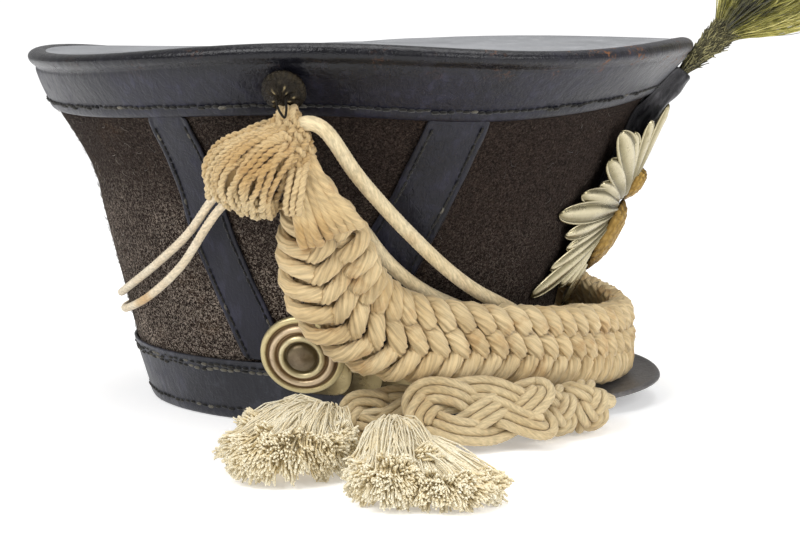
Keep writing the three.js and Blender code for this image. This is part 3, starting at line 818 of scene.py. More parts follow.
@dataclass(frozen=True)
class FeatherFinish(Finish):
    """Dyed feather barbs, each a little lighter or darker than the next."""

    name: str = "feather"
    roughness: float = 0.7
    tones: tuple = ((0.0, (0.010, 0.009, 0.003)), (0.32, (0.075, 0.072, 0.013)),
                    (0.62, (0.35, 0.325, 0.045)), (1.0, (0.95, 0.87, 0.34)))

    def material(self) -> Material:
        """Builds the material.

        Returns:
            The material.
        """
        material, nodes, shader = self.start(Sheen_Weight=0.2)
        shade = nodes.add("Attribute", attribute_name=SHADE).outputs["Fac"]
        broad = self.mottling(nodes, 160.0, 0.3, 0.7)
        tone = nodes.times_plus(broad, 0.35, nodes.times(shade, 0.7))
        self.feed(nodes, shader, Base_Color=nodes.ramp(tone, self.tones))
        fibre = self.effect(nodes, Effect.FIBRE, Along=8.0, Round=6.0, Slant=0.5).outputs[0]
        self.bump(nodes, shader, fibre, 0.4, 0.0004)
        return material


# Crown

@dataclass(frozen=True)
class CrownForm:
    """The felt wall's outside: its reach to the back, the front and each side at each height."""

    heights: tuple = (0, 28, 57, 85, 104, 120, 135, 150, 158)
    back: tuple = (89.5, 97.8, 105.0, 111.8, 115.5, 122.5, 131.5, 137.8, 139.6)
    front: tuple = (88.5, 95.0, 102.0, 112.0, 120.0, 127.5, 134.5, 147.5, 155.6)
    side: tuple = (74.8, 84.5, 92.0, 101.0, 109.5, 119.0, 130.0, 142.5, 148.5)
    rim_top: float = 162.4
    edge_height: float = 135.6
    tilt: float = 1.4
    wave: float = 1.3
    warp: tuple = ((0.46, 0.0), (0.88, -0.65), (0.11, 0.65), (-0.44, 0.16), (0.61, -0.64), (0.09, -0.07),
                   (-0.18, -0.08))

    def reach(self, z: Array) -> tuple[Array, Array, Array]:
        """Reach to the back, the front and each side at heights."""
        rows = through_rows(self.heights, np.stack((self.back, self.front, self.side), 1), np.ravel(z))
        return tuple(rows[:, k].reshape(np.shape(z)) for k in range(3))

    def point(self, angle: Array, z: Array, out: Array = 0.0) -> Array:
        """Point on the felt's outside, moved out level.

        Args:
            angle: angle from the front, in radians.
            z: height.
            out: distance out.

        Returns:
            The points.
        """
        angle, z, out = np.broadcast_arrays(*(np.asarray(v, float) for v in (angle, z, out)))
        back, front, side = self.reach(z)
        long = (front + back) / 2
        normal = unit(np.stack((np.cos(angle) / long, np.sin(angle) / side), -1))
        return np.stack(((front - back) / 2 + long * np.cos(angle) + out * normal[..., 0],
                         side * np.sin(angle) + out * normal[..., 1], z), -1)

    def sway(self, angle: Array) -> Array:
        """How far the rim band rises and falls round the hat."""
        return self.tilt * np.cos(angle) + self.wave * np.cos(4 * np.asarray(angle))

    def rim_rise(self, angle: Array) -> Array:
        """How far the rim itself rises and falls, with the warp of the old leather.

        Args:
            angle: angle from the front, in radians.

        Returns:
            The rise.
        """
        turn = np.asarray(angle, float)
        warp = (a * np.cos(k * turn) + b * np.sin(k * turn) for k, (a, b) in enumerate(self.warp))
        return self.sway(turn) + sum(warp)

    def edge_dip(self, angle: Array) -> Array:
        """How far the rim band's lower edge sags beside each front strap and rises at the front."""
        turn = np.abs((np.degrees(angle) + 180) % 360 - 180)
        return 2.2 * np.exp(-((turn - 60) / 20) ** 2) - 2.8 * np.exp(-(turn / 24) ** 2)

    def leaning(self, angle: float, degrees: float) -> Array:
        """Direction out of the wall that leans down by an angle.

        Args:
            angle: angle from the front, in radians.
            degrees: how far it leans.

        Returns:
            The direction.
        """
        level = self.point(angle, 0.0, 1.0) - self.point(angle, 0.0)
        lean = math.radians(degrees)
        return level * math.cos(lean) + np.array((0, 0, -math.sin(lean)))

    def front_x(self, y: Array, z: Array) -> Array:
        """Front of the felt at a sideways place and height."""
        back, front, side = self.reach(z)
        return (front - back) / 2 + (front + back) / 2 * np.sqrt(np.maximum(0, 1 - (y / side) ** 2))


FORM = CrownForm()


class Level(Enum):
    """What a height on a band is measured from."""

    FLOOR = 0
    EDGE = 1
    RIM = 2


@dataclass
class Stitching:
    """Rows of thread sunk in leather."""

    spacing: float = 3.1
    thread: float = 0.72
    length: float = 2.7
    sink: float = 0.5
    # Share of stitches in the thread's pale tone: pale worn thread on the foot band's upper rows, painted
    # glints on dark thread elsewhere.
    paler: float = 0.08
    seed: int = 5

    def row(self, strands: Strands, line: Array, outward: Array) -> None:
        """Adds a row of stitches.

        Args:
            strands: the collection to add to.
            line: points along the row.
            outward: direction out of the leather at each point.
        """
        rng = np.random.default_rng(self.seed)
        along = length_along(line)
        at = np.arange(self.spacing / 2, along[-1] - self.spacing / 2, self.spacing)
        at = at + rng.normal(0, 0.16, len(at))
        parts = np.array((-0.5, -0.36, -0.12, 0.12, 0.36, 0.5))
        lift = np.array((-1.0, 0.1, 0.62, 0.62, 0.1, -1.0)) * self.sink
        where = at[:, None] + parts * self.length * rng.uniform(0.8, 1.15, (len(at), 1))
        paths = between_rows(where, along, line) + unit(between_rows(where, along, outward)) * lift[:, None]
        paths = paths + np.array((0, 0, 0.3)) * rng.normal(size=(len(at), 1, 1))
        strands.add(paths, self.thread, sides=4, shade=np.where(rng.random(len(at)) < self.paler, 0.0, 1.0))


@dataclass
class Crown:
    """Felt wall, leather top, bands, straps and peak."""

    felt: float = 2.6
    hairs: int = 700
    hair_seed: int = 17
    columns: int = 112
    felt_levels: tuple = (2.1, 10, 20, 30, 42, 54, 66, 78, 90, 100, 109, 117, 124, 131, 138, 145, 151)
    disc_section: tuple = (
        (0.0, 0.0), (0.5, 0.0), (0.97, 0.0), (1.0, 0.3), (1.0, 1.2), (0.97, 1.6), (0.85, 1.6), (0.7, 1.6),
        (0.5, 1.6), (0.3, 1.6), (0.15, 1.6), (0.0, 1.6))
    disc_level: float = 158.0
    disc_middle: float = 6.25
    disc_inset: float = 1.5
    disc_drop: float = 2.75
    strap_foot: float = 28.9
    strap_top: float = 136.6
    strap_furrow: float = 0.77
    strap_front_width: float = 27.0
    strap_back_width: float = 19.8
    strap_heights: tuple = (30, 57, 85, 104, 120, 131.5)
    strap_front: tuple = (82, 76, 70, 66.5, 64, 61.8)
    strap_back: tuple = (101, 106.5, 111.5, 113.6, 114.3, 114.5)
    peak_span: float = 52.0
    peak_sweep: float = 100.0
    peak_radius: float = 57.5
    peak_centre: float = 90.4
    peak_root: float = 3.6
    peak_lift: float = 5.6
    peak_thick: float = 2.2
    peak_section: tuple = (
        (0.0, 0.0), (0.25, 0.0), (0.5, 0.0), (0.75, 0.0), (0.93, -0.05), (0.985, 0.1), (1.0, 0.7),
        (1.0, 1.7), (0.985, 2.4), (0.955, 2.6), (0.93, 2.3), (0.9, 2.15), (0.75, 2.2), (0.5, 2.2),
        (0.25, 2.2), (0.0, 2.2))
    top_section: tuple = (
        (Level.EDGE, 0.0, 1.7), (Level.EDGE, 0.35, 2.3), (Level.EDGE, 1.6, 2.5), (Level.EDGE, 3.0, 2.35),
        (Level.EDGE, 4.2, 1.75), (Level.EDGE, 5.3, 2.1), (Level.EDGE, 9.0, 2.15), (Level.EDGE, 14.4, 2.1),
        (Level.RIM, -9.2, 2.15), (Level.RIM, -8.2, 1.5), (Level.RIM, -7.5, 1.9), (Level.RIM, -6.4, 3.4),
        (Level.RIM, -4.8, 4.1), (Level.RIM, -3.2, 4.0), (Level.RIM, -1.9, 3.2), (Level.RIM, -0.8, 1.6),
        (Level.RIM, -0.4, -0.6), (Level.RIM, -0.5, -2.2), (Level.RIM, -0.9, -3.6), (Level.RIM, -1.6, -4.6),
        (Level.RIM, -2.6, -4.6), (Level.RIM, -2.6, 0.5), (Level.RIM, -5.25, 0.5), (Level.EDGE, 14.4, 0.5),
        (Level.EDGE, 0.0, 0.5))
    base_section: tuple = tuple((Level.FLOOR, up, out) for up, out in (
        (0.0, 1.6), (0.5, 2.2), (2.2, 2.5), (3.8, 2.4), (4.8, 1.8), (6.0, 2.1), (10.0, 2.1), (15.0, 2.1),
        (20.0, 2.1), (22.2, 2.0), (23.1, 1.7), (24.1, 2.1), (25.2, 1.7), (26.2, 2.25), (27.6, 2.35),
        (28.2, 2.1), (28.3, 1.2), (28.3, 0.5), (15.0, 0.5), (1.6, 0.5), (1.6, -2.6), (0.0, -2.6)))
    strap_section: tuple = (
        (-1.0, 0.5), (-1.0, 1.5), (-0.97, 2.1), (-0.9, 2.4), (-0.82, 2.2), (-0.76, 1.7), (-0.7, 2.0),
        (-0.4, 2.1), (0.0, 2.15), (0.4, 2.1), (0.7, 2.0), (0.76, 1.7), (0.82, 2.2), (0.9, 2.4), (0.97, 2.1),
        (1.0, 1.5), (1.0, 0.5), (0.0, 0.5))

    @staticmethod
    def height(level: Level, angle: Array, up: Array) -> Array:
        """Height on a band at an angle, from its level and the distance above it.

        Args:
            level: what the height is measured from.
            angle: angle from the front, in radians.
            up: distance above the level.

        Returns:
            The height.
        """
        if level is Level.EDGE:
            return FORM.edge_height + up + FORM.sway(angle) - FORM.edge_dip(angle)
        if level is Level.RIM:
            return FORM.rim_top + up + FORM.rim_rise(angle)
        return up + np.zeros_like(angle)

    def band(self, section: Sequence[tuple[Level, float, float]], ripple: float) -> BMesh:
        """Sweeps a band's section round the crown.

        Args:
            section: level, distance above it and distance out, round the closed section.
            ripple: how far hand work leaves the outside uneven.

        Returns:
            The band's mesh.
        """
        def place(u: Array, level: Array, up: Array, out: Array) -> Array:
            """Gives the surface's points."""
            angle = math.tau * u
            z = np.choose(level.astype(int), [self.height(each, angle, up) for each in Level])
            uneven = np.sin(11 * angle + 0.31 * z) + 0.7 * np.sin(23 * angle - 0.2 * z)
            uneven = uneven + 0.5 * np.sin(5 * angle + 1)
            return FORM.point(angle, z, out + np.where(out > 1.4, ripple * uneven, 0))

        return swept(self.columns, [(level.value, up, out) for level, up, out in section], place)

    def build(self, felt: Material, hair: Material, leather: Material,
              foot: Material, top: Material, peak: Material,
              thread: Material) -> None:
        """Builds and dresses the crown's pieces.

        Args:
            felt: finish of the wall.
            hair: finish of its loose hairs.
            leather: finish of the rim band and straps.
            foot: finish of the foot band.
            top: finish of the top.
            peak: finish of the peak.
            thread: finish of the stitches.
        """
        levels = np.array((*self.felt_levels, *self.felt_levels[::-1]))
        outs = np.repeat((0.0, -self.felt), len(self.felt_levels))

        def wall(u: Array, level: Array, out: Array) -> Array:
            """Gives the surface's points."""
            angle = math.tau * u
            # The top row, at 151 mm, moves with the rim and stays 5.25 mm below its top.
            z = level + np.where(level > 150, FORM.rim_top - 156.25 + FORM.rim_rise(angle), 0)
            lump = 0.13 * np.sin(5 * angle + z / 13) + 0.1 * np.sin(9 * angle - z / 8)
            return FORM.point(angle, z, out + (lump + 0.08 * np.sin(17 * angle + z / 5)))

        section = np.column_stack((levels, outs))
        add_piece("felt_wall", swept(self.columns, section, wall), felt, ("crown_body",))
        self.build_hairs(hair)
        self.build_top(top)
        add_piece("rim_band", self.band(self.top_section, 0.06), leather, ("top_band",), 1)
        add_piece("foot_band", self.band(self.base_section, 0.09), foot, ("base_band",), 1)
        self.build_straps(leather, thread)
        self.build_peak(peak)
        self.build_band_stitches(thread)

    def build_hairs(self, material: Material) -> None:
        """Builds the loose hairs that lie on the felt, palest where it is worn.

        Args:
            material: its finish.
        """
        rng = np.random.default_rng(self.hair_seed)
        share = np.linspace(0, 1, 4)
        angle = np.where(rng.random(self.hairs) < 0.9, math.pi, 0) + rng.normal(0, 0.8, self.hairs)
        up = rng.uniform(29, 133, self.hairs)
        heading = rng.uniform(0, math.tau, (self.hairs, 1)) + rng.normal(0, 0.8, (self.hairs, 1)) * share
        long = rng.uniform(1.2, 4.2, (self.hairs, 1)) * share
        out = 0.32 + rng.uniform(0.0, 0.6, (self.hairs, 1)) * np.sin(math.pi * share)
        paths = FORM.point(angle[:, None] + long * np.cos(heading) / 105,
                           up[:, None] + long * np.sin(heading), out)
        worn = smooth(0.2, -0.9, np.cos(angle)) * (0.6 + 0.4 * smooth(80, 35, up))
        worn = worn + 0.3 * smooth(0.6, 0.95, np.cos(angle))
        strands = Strands()
        strands.add(paths, rng.uniform(0.07, 0.15, (self.hairs, 1)), sides=3,
                    shade=np.clip(1.1 - worn * (0.3 + rng.random(self.hairs) ** 1.5), 0, 1))
        add_piece("felt_hairs", strands.mesh(), material)

    def build_top(self, material: Material) -> None:
        """Builds the leather disc that closes the top.

        Args:
            material: its finish.
        """
        middle = np.array((self.disc_middle, 0, self.disc_level))

        def place(u: Array, part: Array, lift: Array) -> Array:
            """Gives the surface's points."""
            angle = math.tau * u
            edge = FORM.point(angle, self.disc_level, -self.disc_inset)
            point = middle + part[:, None] * (edge - middle)
            buckle = 0.35 * part * np.sin(3 * angle + 4 * part) * (1 - part ** 6)
            swell = 0.3 + 2.8 * smooth(-50, 40, point[:, 0]) + 1.6 * smooth(0, 90, point[:, 0])
            dome = (1 - part ** 2) * swell
            point[:, 2] = FORM.rim_top + part * FORM.rim_rise(angle) - self.disc_drop + dome + lift + buckle
            return point

        disc = swept(72, self.disc_section, place, closed=False)
        add_piece("top_disc", disc, material, ("crown_top",), 1)

    def strap_line(self, angles: Sequence[float], wide: float, side: int, z: Array, across: Array,
                   out: Array) -> Array:
        """Points on a side strap.

        Args:
            angles: the strap's angles at its heights.
            wide: the strap's width.
            side: -1 for the right, 1 for the left.
            z: heights.
            across: place across the strap, from -1 to 1.
            out: distance out from the felt.

        Returns:
            The points.
        """
        middle = np.radians(through_rows(self.strap_heights, np.array(angles), z)[:, 0])
        radius = np.linalg.norm(FORM.point(middle, z)[:, :2], axis=1)
        half = wide / 2 / radius
        return FORM.point(side * (middle + half * across), z, out)

    def build_straps(self, leather: Material, thread: Material) -> None:
        """Builds the V of stitched straps on each side.

        Args:
            leather: finish of the straps.
            thread: finish of the stitches.
        """
        for side_name, side in SIDES:
            stitches = Strands()
            for name, angles, wide in (("front", self.strap_front, self.strap_front_width),
                                       ("back", self.strap_back, self.strap_back_width)):

                def place(u: Array, across: Array, out: Array) -> Array:
                    """Gives the surface's points."""
                    z = self.strap_foot + (self.strap_top - self.strap_foot) * u
                    wobble = 0.012 * np.sin(z / 6.0) + 0.01 * np.sin(z / 2.9 + 1)
                    tuck = 1 - 0.5 * smooth(self.strap_top - 6, self.strap_top - 2, z)
                    return self.strap_line(angles, wide, side, z, across * (1 + wobble), out * tuck)

                strap = swept(28, self.strap_section, place)
                add_piece(f"strap_{side_name}_{name}", strap, leather,
                          (f"side_strap_{side_name}_{name}",), 1)
                self.sew_strap(stitches, angles, wide, side, np.linspace(30.0, self.strap_top - 5, 260))
            add_piece(f"strap_stitches_{side_name}", stitches.mesh(), thread)

    def sew_strap(self, strands: Strands, angles: Sequence[float], wide: float, side: int, z: Array) -> None:
        """Adds the stitches in the furrow along both edges of a strap.

        Args:
            strands: the collection to add to.
            angles: the strap's angles at its heights.
            wide: the strap's width.
            side: -1 for the right, 1 for the left.
            z: heights along the furrow.
        """
        for edge in (-self.strap_furrow, self.strap_furrow):
            spot = np.full(len(z), edge)
            line = self.strap_line(angles, wide, side, z, spot, np.full(len(z), 1.85))
            outward = self.strap_line(angles, wide, side, z, spot, np.full(len(z), 2.85)) - line
            sewing = Stitching(spacing=2.9, thread=0.62, length=2.5, seed=int(angles[0] + 9 * edge))
            sewing.row(strands, line, outward)

    def build_band_stitches(self, thread: Material) -> None:
        """Builds the rows of stitches along the two bands.

        Args:
            thread: finish of the stitches.
        """
        angle = np.linspace(0, math.tau, 720)
        rim, foot = Strands(), Strands()
        for strands, level, up, out, spacing in (
                (rim, Level.EDGE, 4.2, 1.95, 3.3), (foot, Level.FLOOR, 4.8, 1.9, 3.8),
                (foot, Level.FLOOR, 23.1, 1.75, 3.6), (foot, Level.FLOOR, 25.2, 1.75, 3.6)):
            z = self.height(level, angle, np.full_like(angle, up))
            line = FORM.point(angle, z, out)
            # More pale stitches in the foot band's upper rows, where the thread is pale; the few elsewhere
            # are painted glints.
            paler = 0.35 if up > 20 else 0.06
            Stitching(spacing=spacing, seed=int(up * 10), paler=paler).row(
                strands, line, FORM.point(angle, z, out + 1) - line)
        add_piece("rim_stitches", rim.mesh(), thread)
        add_piece("foot_stitches", foot.mesh(), thread)

    def peak_point(self, part: Array, across: Array, up: Array) -> Array:
        """Point on the peak.

        Args:
            part: place round its edge, from -1 to 1.
            across: 0 at the root and 1 at the edge.
            up: height above its underside.

        Returns:
            The points.
        """
        root_angle = np.radians(self.peak_span * part)
        sweep = np.radians(self.peak_sweep * part)
        root = FORM.point(root_angle, np.full_like(part, self.peak_root + self.peak_thick), 2.4)
        blunt = FORM.point(root_angle, np.full_like(part, self.peak_root + self.peak_thick), 4.9)
        brim = np.stack((self.peak_centre + self.peak_radius * np.cos(sweep),
                         self.peak_radius * np.sin(sweep),
                         np.zeros_like(part)), -1)
        share = (part ** 6)[:, None]
        brim = brim * (1 - share) + blunt * share
        point = root + across[:, None] * (brim - root)
        slope = np.where(across < 0.5, 1.2 * across, 0.6 + 0.8 * (across - 0.5))
        rise = self.peak_lift * (1 - part ** 2) * slope * (1 + 0.75 * smooth(-0.1, 0.5, part))
        point[:, 2] = self.peak_root + rise + up
        return point

    def build_peak(self, material: Material) -> None:
        """Builds the leather peak with its turned edge.

        Args:
            material: its finish.
        """

        def place(u: Array, across: Array, up: Array) -> Array:
            """Gives the surface's points."""
            part = 2 * u - 1
            return self.peak_point(part, across, up + 0.12 * np.sin(9 * part + 3 * across))

        add_piece("visor", swept(72, self.peak_section, place), material, ("peak",), 1)


# Metal

@dataclass
class Fittings:
    """Bosses, chin scales, buttons, rayed plate and its ornament."""

    boss_profile: tuple = (
        (0, 0), (17.4, 0), (18.1, 0.5), (18.4, 1.4), (18.1, 2.5), (17.2, 3.1), (16.2, 3.3), (15.6, 3.0),
        (15.1, 2.0), (14.6, 2.2), (14.1, 3.6), (13.2, 4.3), (12.2, 4.2), (11.5, 3.6), (11.1, 2.5),
        (10.5, 2.5), (10.1, 4.0), (9.3, 4.9), (8.3, 5.0), (7.5, 4.3), (7.1, 3.0), (6.6, 2.9), (6.3, 4.2),
        (5.8, 5.2), (4.6, 5.9), (3.0, 6.3), (2.3, 6.8), (1.2, 7.1), (0, 7.2))
    boss_angle: float = 91.5
    boss_height: float = 33.6
    boss_seat: float = 2.6
    boss_lean: float = 16.5
    scale_count: int = 12
    scale_section: tuple = (
        (-1.0, -0.3), (-1.0, 0.2), (-0.9, 0.75), (-0.78, 0.35), (-0.4, 0.85), (0.0, 1.05), (0.4, 0.85),
        (0.78, 0.35), (0.9, 0.75), (1.0, 0.2), (1.0, -0.3), (0.0, 0.0))
    button_profile: tuple = (
        (0.0, 0.0), (3.0, 0.0), (3.0, 1.8), (6.9, 2.2), (8.3, 3.2), (8.7, 4.4), (8.4, 5.4), (7.6, 6.3),
        (7.2, 7.2), (6.3, 8.3), (4.9, 9.3), (3.3, 10.0), (1.6, 10.4), (0.0, 10.5))
    button_angle: float = 91.7
    button_height: float = 149.0
    button_seat: float = 2.9
    button_lean: float = 28.0
    wire_ring: float = 3.6
    wire_hook: tuple = (
        (-1.0, 151.0, 147.0), (-1.4, 156.0, 143.5), (0.2, 158.4, 140.0), (2.4, 159.0, 137.4),
        (3.0, 158.4, 140.2), (2.4, 156.4, 143.5), (3.2, 151.0, 147.0))
    knot_top: float = 139.6
    plate_height: float = 88.0
    rays: tuple = (
        (6, 47, 3.6, 0.0), (18, 52.5, 5.0, 1.3), (30, 49.5, 4.4, 0.6), (40, 49.5, 3.6, 0.0),
        (46.5, 56.5, 5.2, 1.3), (56, 46.5, 4.6, 0.6), (67, 38, 4.0, 0.0), (76, 44, 4.8, 0.6),
        (87.5, 49.5, 5.6, 1.3), (102, 41.5, 4.6, 0.6), (113, 39, 3.8, 0.0), (121.5, 47, 4.4, 0.6),
        (129, 58, 5.0, 1.3), (141, 44, 4.3, 0.6), (153, 40, 3.6, 0.0), (165, 46, 4.3, 0.6),
        (177, 49, 5.0, 1.3))
    # Each corner: place across, height and a brightness that paints highlight on the rim and dome and shade
    # in the grooves.
    ray_section: tuple = (
        (-1.0, -0.3, 0.2), (-1.0, 0.2, 0.45), (-0.94, 0.85, 0.9), (-0.84, 0.9, 0.9), (-0.74, 0.0, 0.0),
        (-0.6, 0.5, 0.4), (-0.3, 1.6, 0.85), (0.0, 2.1, 1.0), (0.3, 1.6, 0.85), (0.6, 0.5, 0.4),
        (0.74, 0.0, 0.0), (0.84, 0.9, 0.9), (0.94, 0.85, 0.9), (1.0, 0.2, 0.45), (1.0, -0.3, 0.2),
        (0.0, -0.3, 0.2))
    lobes: tuple = ((75.5, 17.0, 12.0, 7.4, 22), (99.5, 8.0, 7.0, 6.0, 14))

    def plate_point(self, y: Array, z: Array, out: Array = 0.0) -> Array:
        """Point on the plate: its middle stands off the felt and its tips bend back to it.

        Args:
            y: place across.
            z: height.
            out: distance out from the plate.

        Returns:
            The points.
        """
        stand_off = 110 + 0.52 * (z - 57.5) - FORM.front_x(np.zeros_like(z), z)
        bend = np.maximum(0, 1 - (y / 47) ** 2)
        return np.stack((FORM.front_x(y, z) + 0.6 + (stand_off - 0.6) * bend + out, y, z), -1)

    def build(self, brass: Material, boss: Material, bronze: Material,
              silver: Material, gilt: Material) -> None:
        """Builds and dresses the metal pieces.

        Args:
            brass: finish of the scales.
            boss: finish of the bosses.
            bronze: finish of the buttons.
            silver: finish of the rays.
            gilt: finish of the ornament.
        """
        for name, side in SIDES:
            angle = side * math.radians(self.boss_angle)
            bm = bmesh.new()
            turned(bm, self.boss_profile, FORM.point(angle, self.boss_height, self.boss_seat),
                   FORM.leaning(angle, self.boss_lean), 56)
            add_piece(f"ringed_boss_{name}", close_up(bm), boss, (f"boss_{name}",), 1)
            self.build_scales(name, side, brass)
            self.build_button(name, side, bronze)
        self.build_rays(silver)
        self.build_ornament(gilt)

    def build_scales(self, name: str, side: int, material: Material) -> None:
        """Builds one side's overlapping chin scales, each a rounded plate.

        Args:
            name: the side's name.
            side: -1 for the right, 1 for the left.
            material: its finish.
        """
        bm = bmesh.new()
        for i in range(self.scale_count):

            def place(u: Array, across: Array, rise: Array) -> Array:
                """Gives the surface's points."""
                along = np.clip((i + 1.55 * u) / self.scale_count, 0, 1.03)
                angle = side * np.radians(91 + (0.6 - 91) * along)
                centre = 27 - 10 * smooth(0, 0.6, along)
                rounding = np.sqrt(np.maximum(0.0, 1 - np.clip((u - 0.5) / 0.5, 0, 1) ** 2.4))
                half = (12.5 - 4 * along) * rounding
                sunk = smooth(0.0, 0.45, u) if i < 2 else 1.0
                lift = 2.3 + 0.45 * sunk + 2.4 * u + rise * np.minimum(sunk, half / 5)
                return FORM.point(angle, centre + half * across, lift)

            def tone(u: Array, across: Array, rise: Array) -> Array:
                """Gives the metal's brightness."""
                # Dark where a scale comes out from under the one before: painted shade of the overlap, with
                # tarnish there; a little brighter on the crest, a painted highlight.
                return smooth(0.36, 0.85, u) * (0.75 + 0.25 * rise)

            sweep(bm, 12, self.scale_section, place, tone)
        add_piece(f"scales_{name}", close_up(bm), material, (f"chin_scales_{name}",), 1)

    def build_button(self, name: str, side: int, material: Material) -> None:
        """Builds a domed button with a beaded edge, a worn relief and the wire loop below it.

        Args:
            name: the side's name.
            side: -1 for the right, 1 for the left.
            material: its finish.
        """
        angle = side * math.radians(self.button_angle)
        foot = FORM.point(angle, self.button_height, self.button_seat)
        axis = unit(FORM.leaning(angle, self.button_lean))
        side_way = unit(np.cross(axis, (1.0, 0, 0)))
        across = np.cross(side_way, axis)
        rows = [(*row, number) for number, row in enumerate(self.button_profile)]

        def worn_relief(turn: Array, radius: Array) -> Array:
            """Gives the height of the worn lobes."""
            petals = 0.6 * np.cos(5 * turn + radius) + 0.5 * np.cos(11 * turn - 0.9 * radius)
            return np.exp(-((radius - 4.2) / 2.4) ** 2) * (petals + 0.3 * np.cos(2.2 * radius))

        def tone(u: Array, radius: Array, height: Array, row: Array) -> Array:
            """Gives the metal's brightness."""
            # Bright on the raised relief and the beads: painted glints. The foot and the underside of the
            # edge stay darkest: painted shade under the dome.
            raised = smooth(0.15, 0.9, worn_relief(math.tau * u, radius))
            beads = 0.5 * np.abs(np.sin(12 * math.tau * u)) ** 3
            return np.where(row >= 8, raised, np.where(row >= 5, beads, 0.0))

        def place(u: Array, radius: Array, height: Array, row: Array) -> Array:
            """Gives the surface's points."""
            turn = math.tau * u
            bead = np.where((row >= 4) & (row <= 6), 0.35 * np.abs(np.sin(12 * turn)), 0)
            height = height + np.where(row >= 8, worn_relief(turn, radius), 0)
            spoke = np.cos(turn)[:, None] * side_way + np.sin(turn)[:, None] * across
            return foot + height[:, None] * axis + (radius + bead)[:, None] * spoke

        dome = swept(60, rows, place, tone, closed=False)
        add_piece(f"button_{name}", dome, material, (f"hook_button_{name}",), 1)
        turn = np.linspace(0, math.tau, 40)
        wire = Strands()
        loop = np.stack((self.wire_ring * np.sin(turn),
                         foot[1] + side * self.wire_ring + 0.5 * np.cos(2 * turn),
                         self.knot_top + 4.6 + self.wire_ring * np.cos(turn)), -1)
        wire.add(loop, 0.75, sides=8)
        wire.add(curve_through(np.array(self.wire_hook) * (1, side, 1), 10), 0.5, sides=7)
        add_piece(f"button_wire_{name}", wire.mesh(), material)

    def build_rays(self, material: Material) -> None:
        """Builds the plate's petal rays: long ones lie over shorter ones.

        Args:
            material: its finish.
        """
        bm = bmesh.new()
        for side, (degrees, length, wide, layer) in ((side, ray) for side in (-1, 1) for ray in self.rays):
            turn = math.pi / 2 - side * math.radians(degrees)

            def place(u: Array, across: Array, high: Array, bright: Array) -> Array:
                """Gives the surface's points."""
                radius = 9 + (length - 9) * u
                point = np.clip((u - 0.62) / 0.38, 0, 1)
                width = wide * (0.36 + 0.64 * smooth(0.0, 0.62, u)) * (1 - point ** 2.2) ** 0.62
                across = width * across
                y = radius * math.cos(turn) - across * math.sin(turn)
                z = self.plate_height + radius * math.sin(turn) + across * math.cos(turn)
                rise = -0.5 - 0.3 * u + layer * (1 - 0.3 * u)
                return self.plate_point(y, z, rise + high * np.minimum(1, width / 2.2))

            def tone(u: Array, across: Array, high: Array, bright: Array) -> Array:
                """Gives the metal's brightness."""
                # Painted highlight on the dome and rim and painted shade in the grooves, darkening towards
                # the roots where the rays meet.
                return bright * (0.35 + 0.65 * smooth(0.15, 0.6, u))

            sweep(bm, 10, self.ray_section, place, tone)
        add_piece("star_rays", close_up(bm), material, ("star_plate",), 1)

    def build_ornament(self, material: Material) -> None:
        """Builds the two-lobed ornament, its lobes cut into plain overlapping leaves.

        Args:
            material: its finish.
        """
        bm = bmesh.new()
        for middle, tall, wide, high, flutes in self.lobes:

            def carved(u: Array, v: Array) -> tuple[Array, Array, Array]:
                """Gives the place from the middle, the flute and the leaf's tier."""
                part = np.where(v < 0.08, v / 0.08, 1 - (v - 0.08) / 0.92)
                flute = np.abs(np.sin(flutes * math.pi * u + 1.6 * part))
                tier = (part * 5.0 + 0.3 * flute) % 1.0
                return part, flute, tier * smooth(0.05, 0.3, part)

            def place(u: Array, v: Array) -> Array:
                """Gives the surface's points."""
                turn = math.tau * u
                part, flute, tier = carved(u, v)
                leaf = 0.42 * tier * (0.3 + 0.7 * flute)
                dome = high * np.maximum(0, 1 - part ** 2.2) ** 0.75 + leaf - 0.6 * smooth(0.6, 1.0, part)
                edge = 1 + 0.03 * flute * part
                lift = 0.9 + np.where(v >= 0.08, np.maximum(dome, 0), 0.0)
                return self.plate_point(wide * part * edge * np.cos(turn),
                                        middle + tall * part * edge * np.sin(turn),
                                        lift)

            def relief(u: Array, v: Array) -> Array:
                """Gives the metal's brightness."""
                part, flute, tier = carved(u, v)
                # Brighter on the raised leaves and towards the middle, dark at the rim: painted highlight and
                # painted shade.
                bright = 0.42 + 0.4 * tier * (0.3 + 0.7 * flute) + 0.3 * (1 - part)
                return np.clip(bright * smooth(1.0, 0.85, part), 0.0, 1.0)

            shape_grid(bm, 132, 40, place, relief)
        add_piece("gilt_ornament", close_up(bm), material, ("plate_emblem",))


# Plume

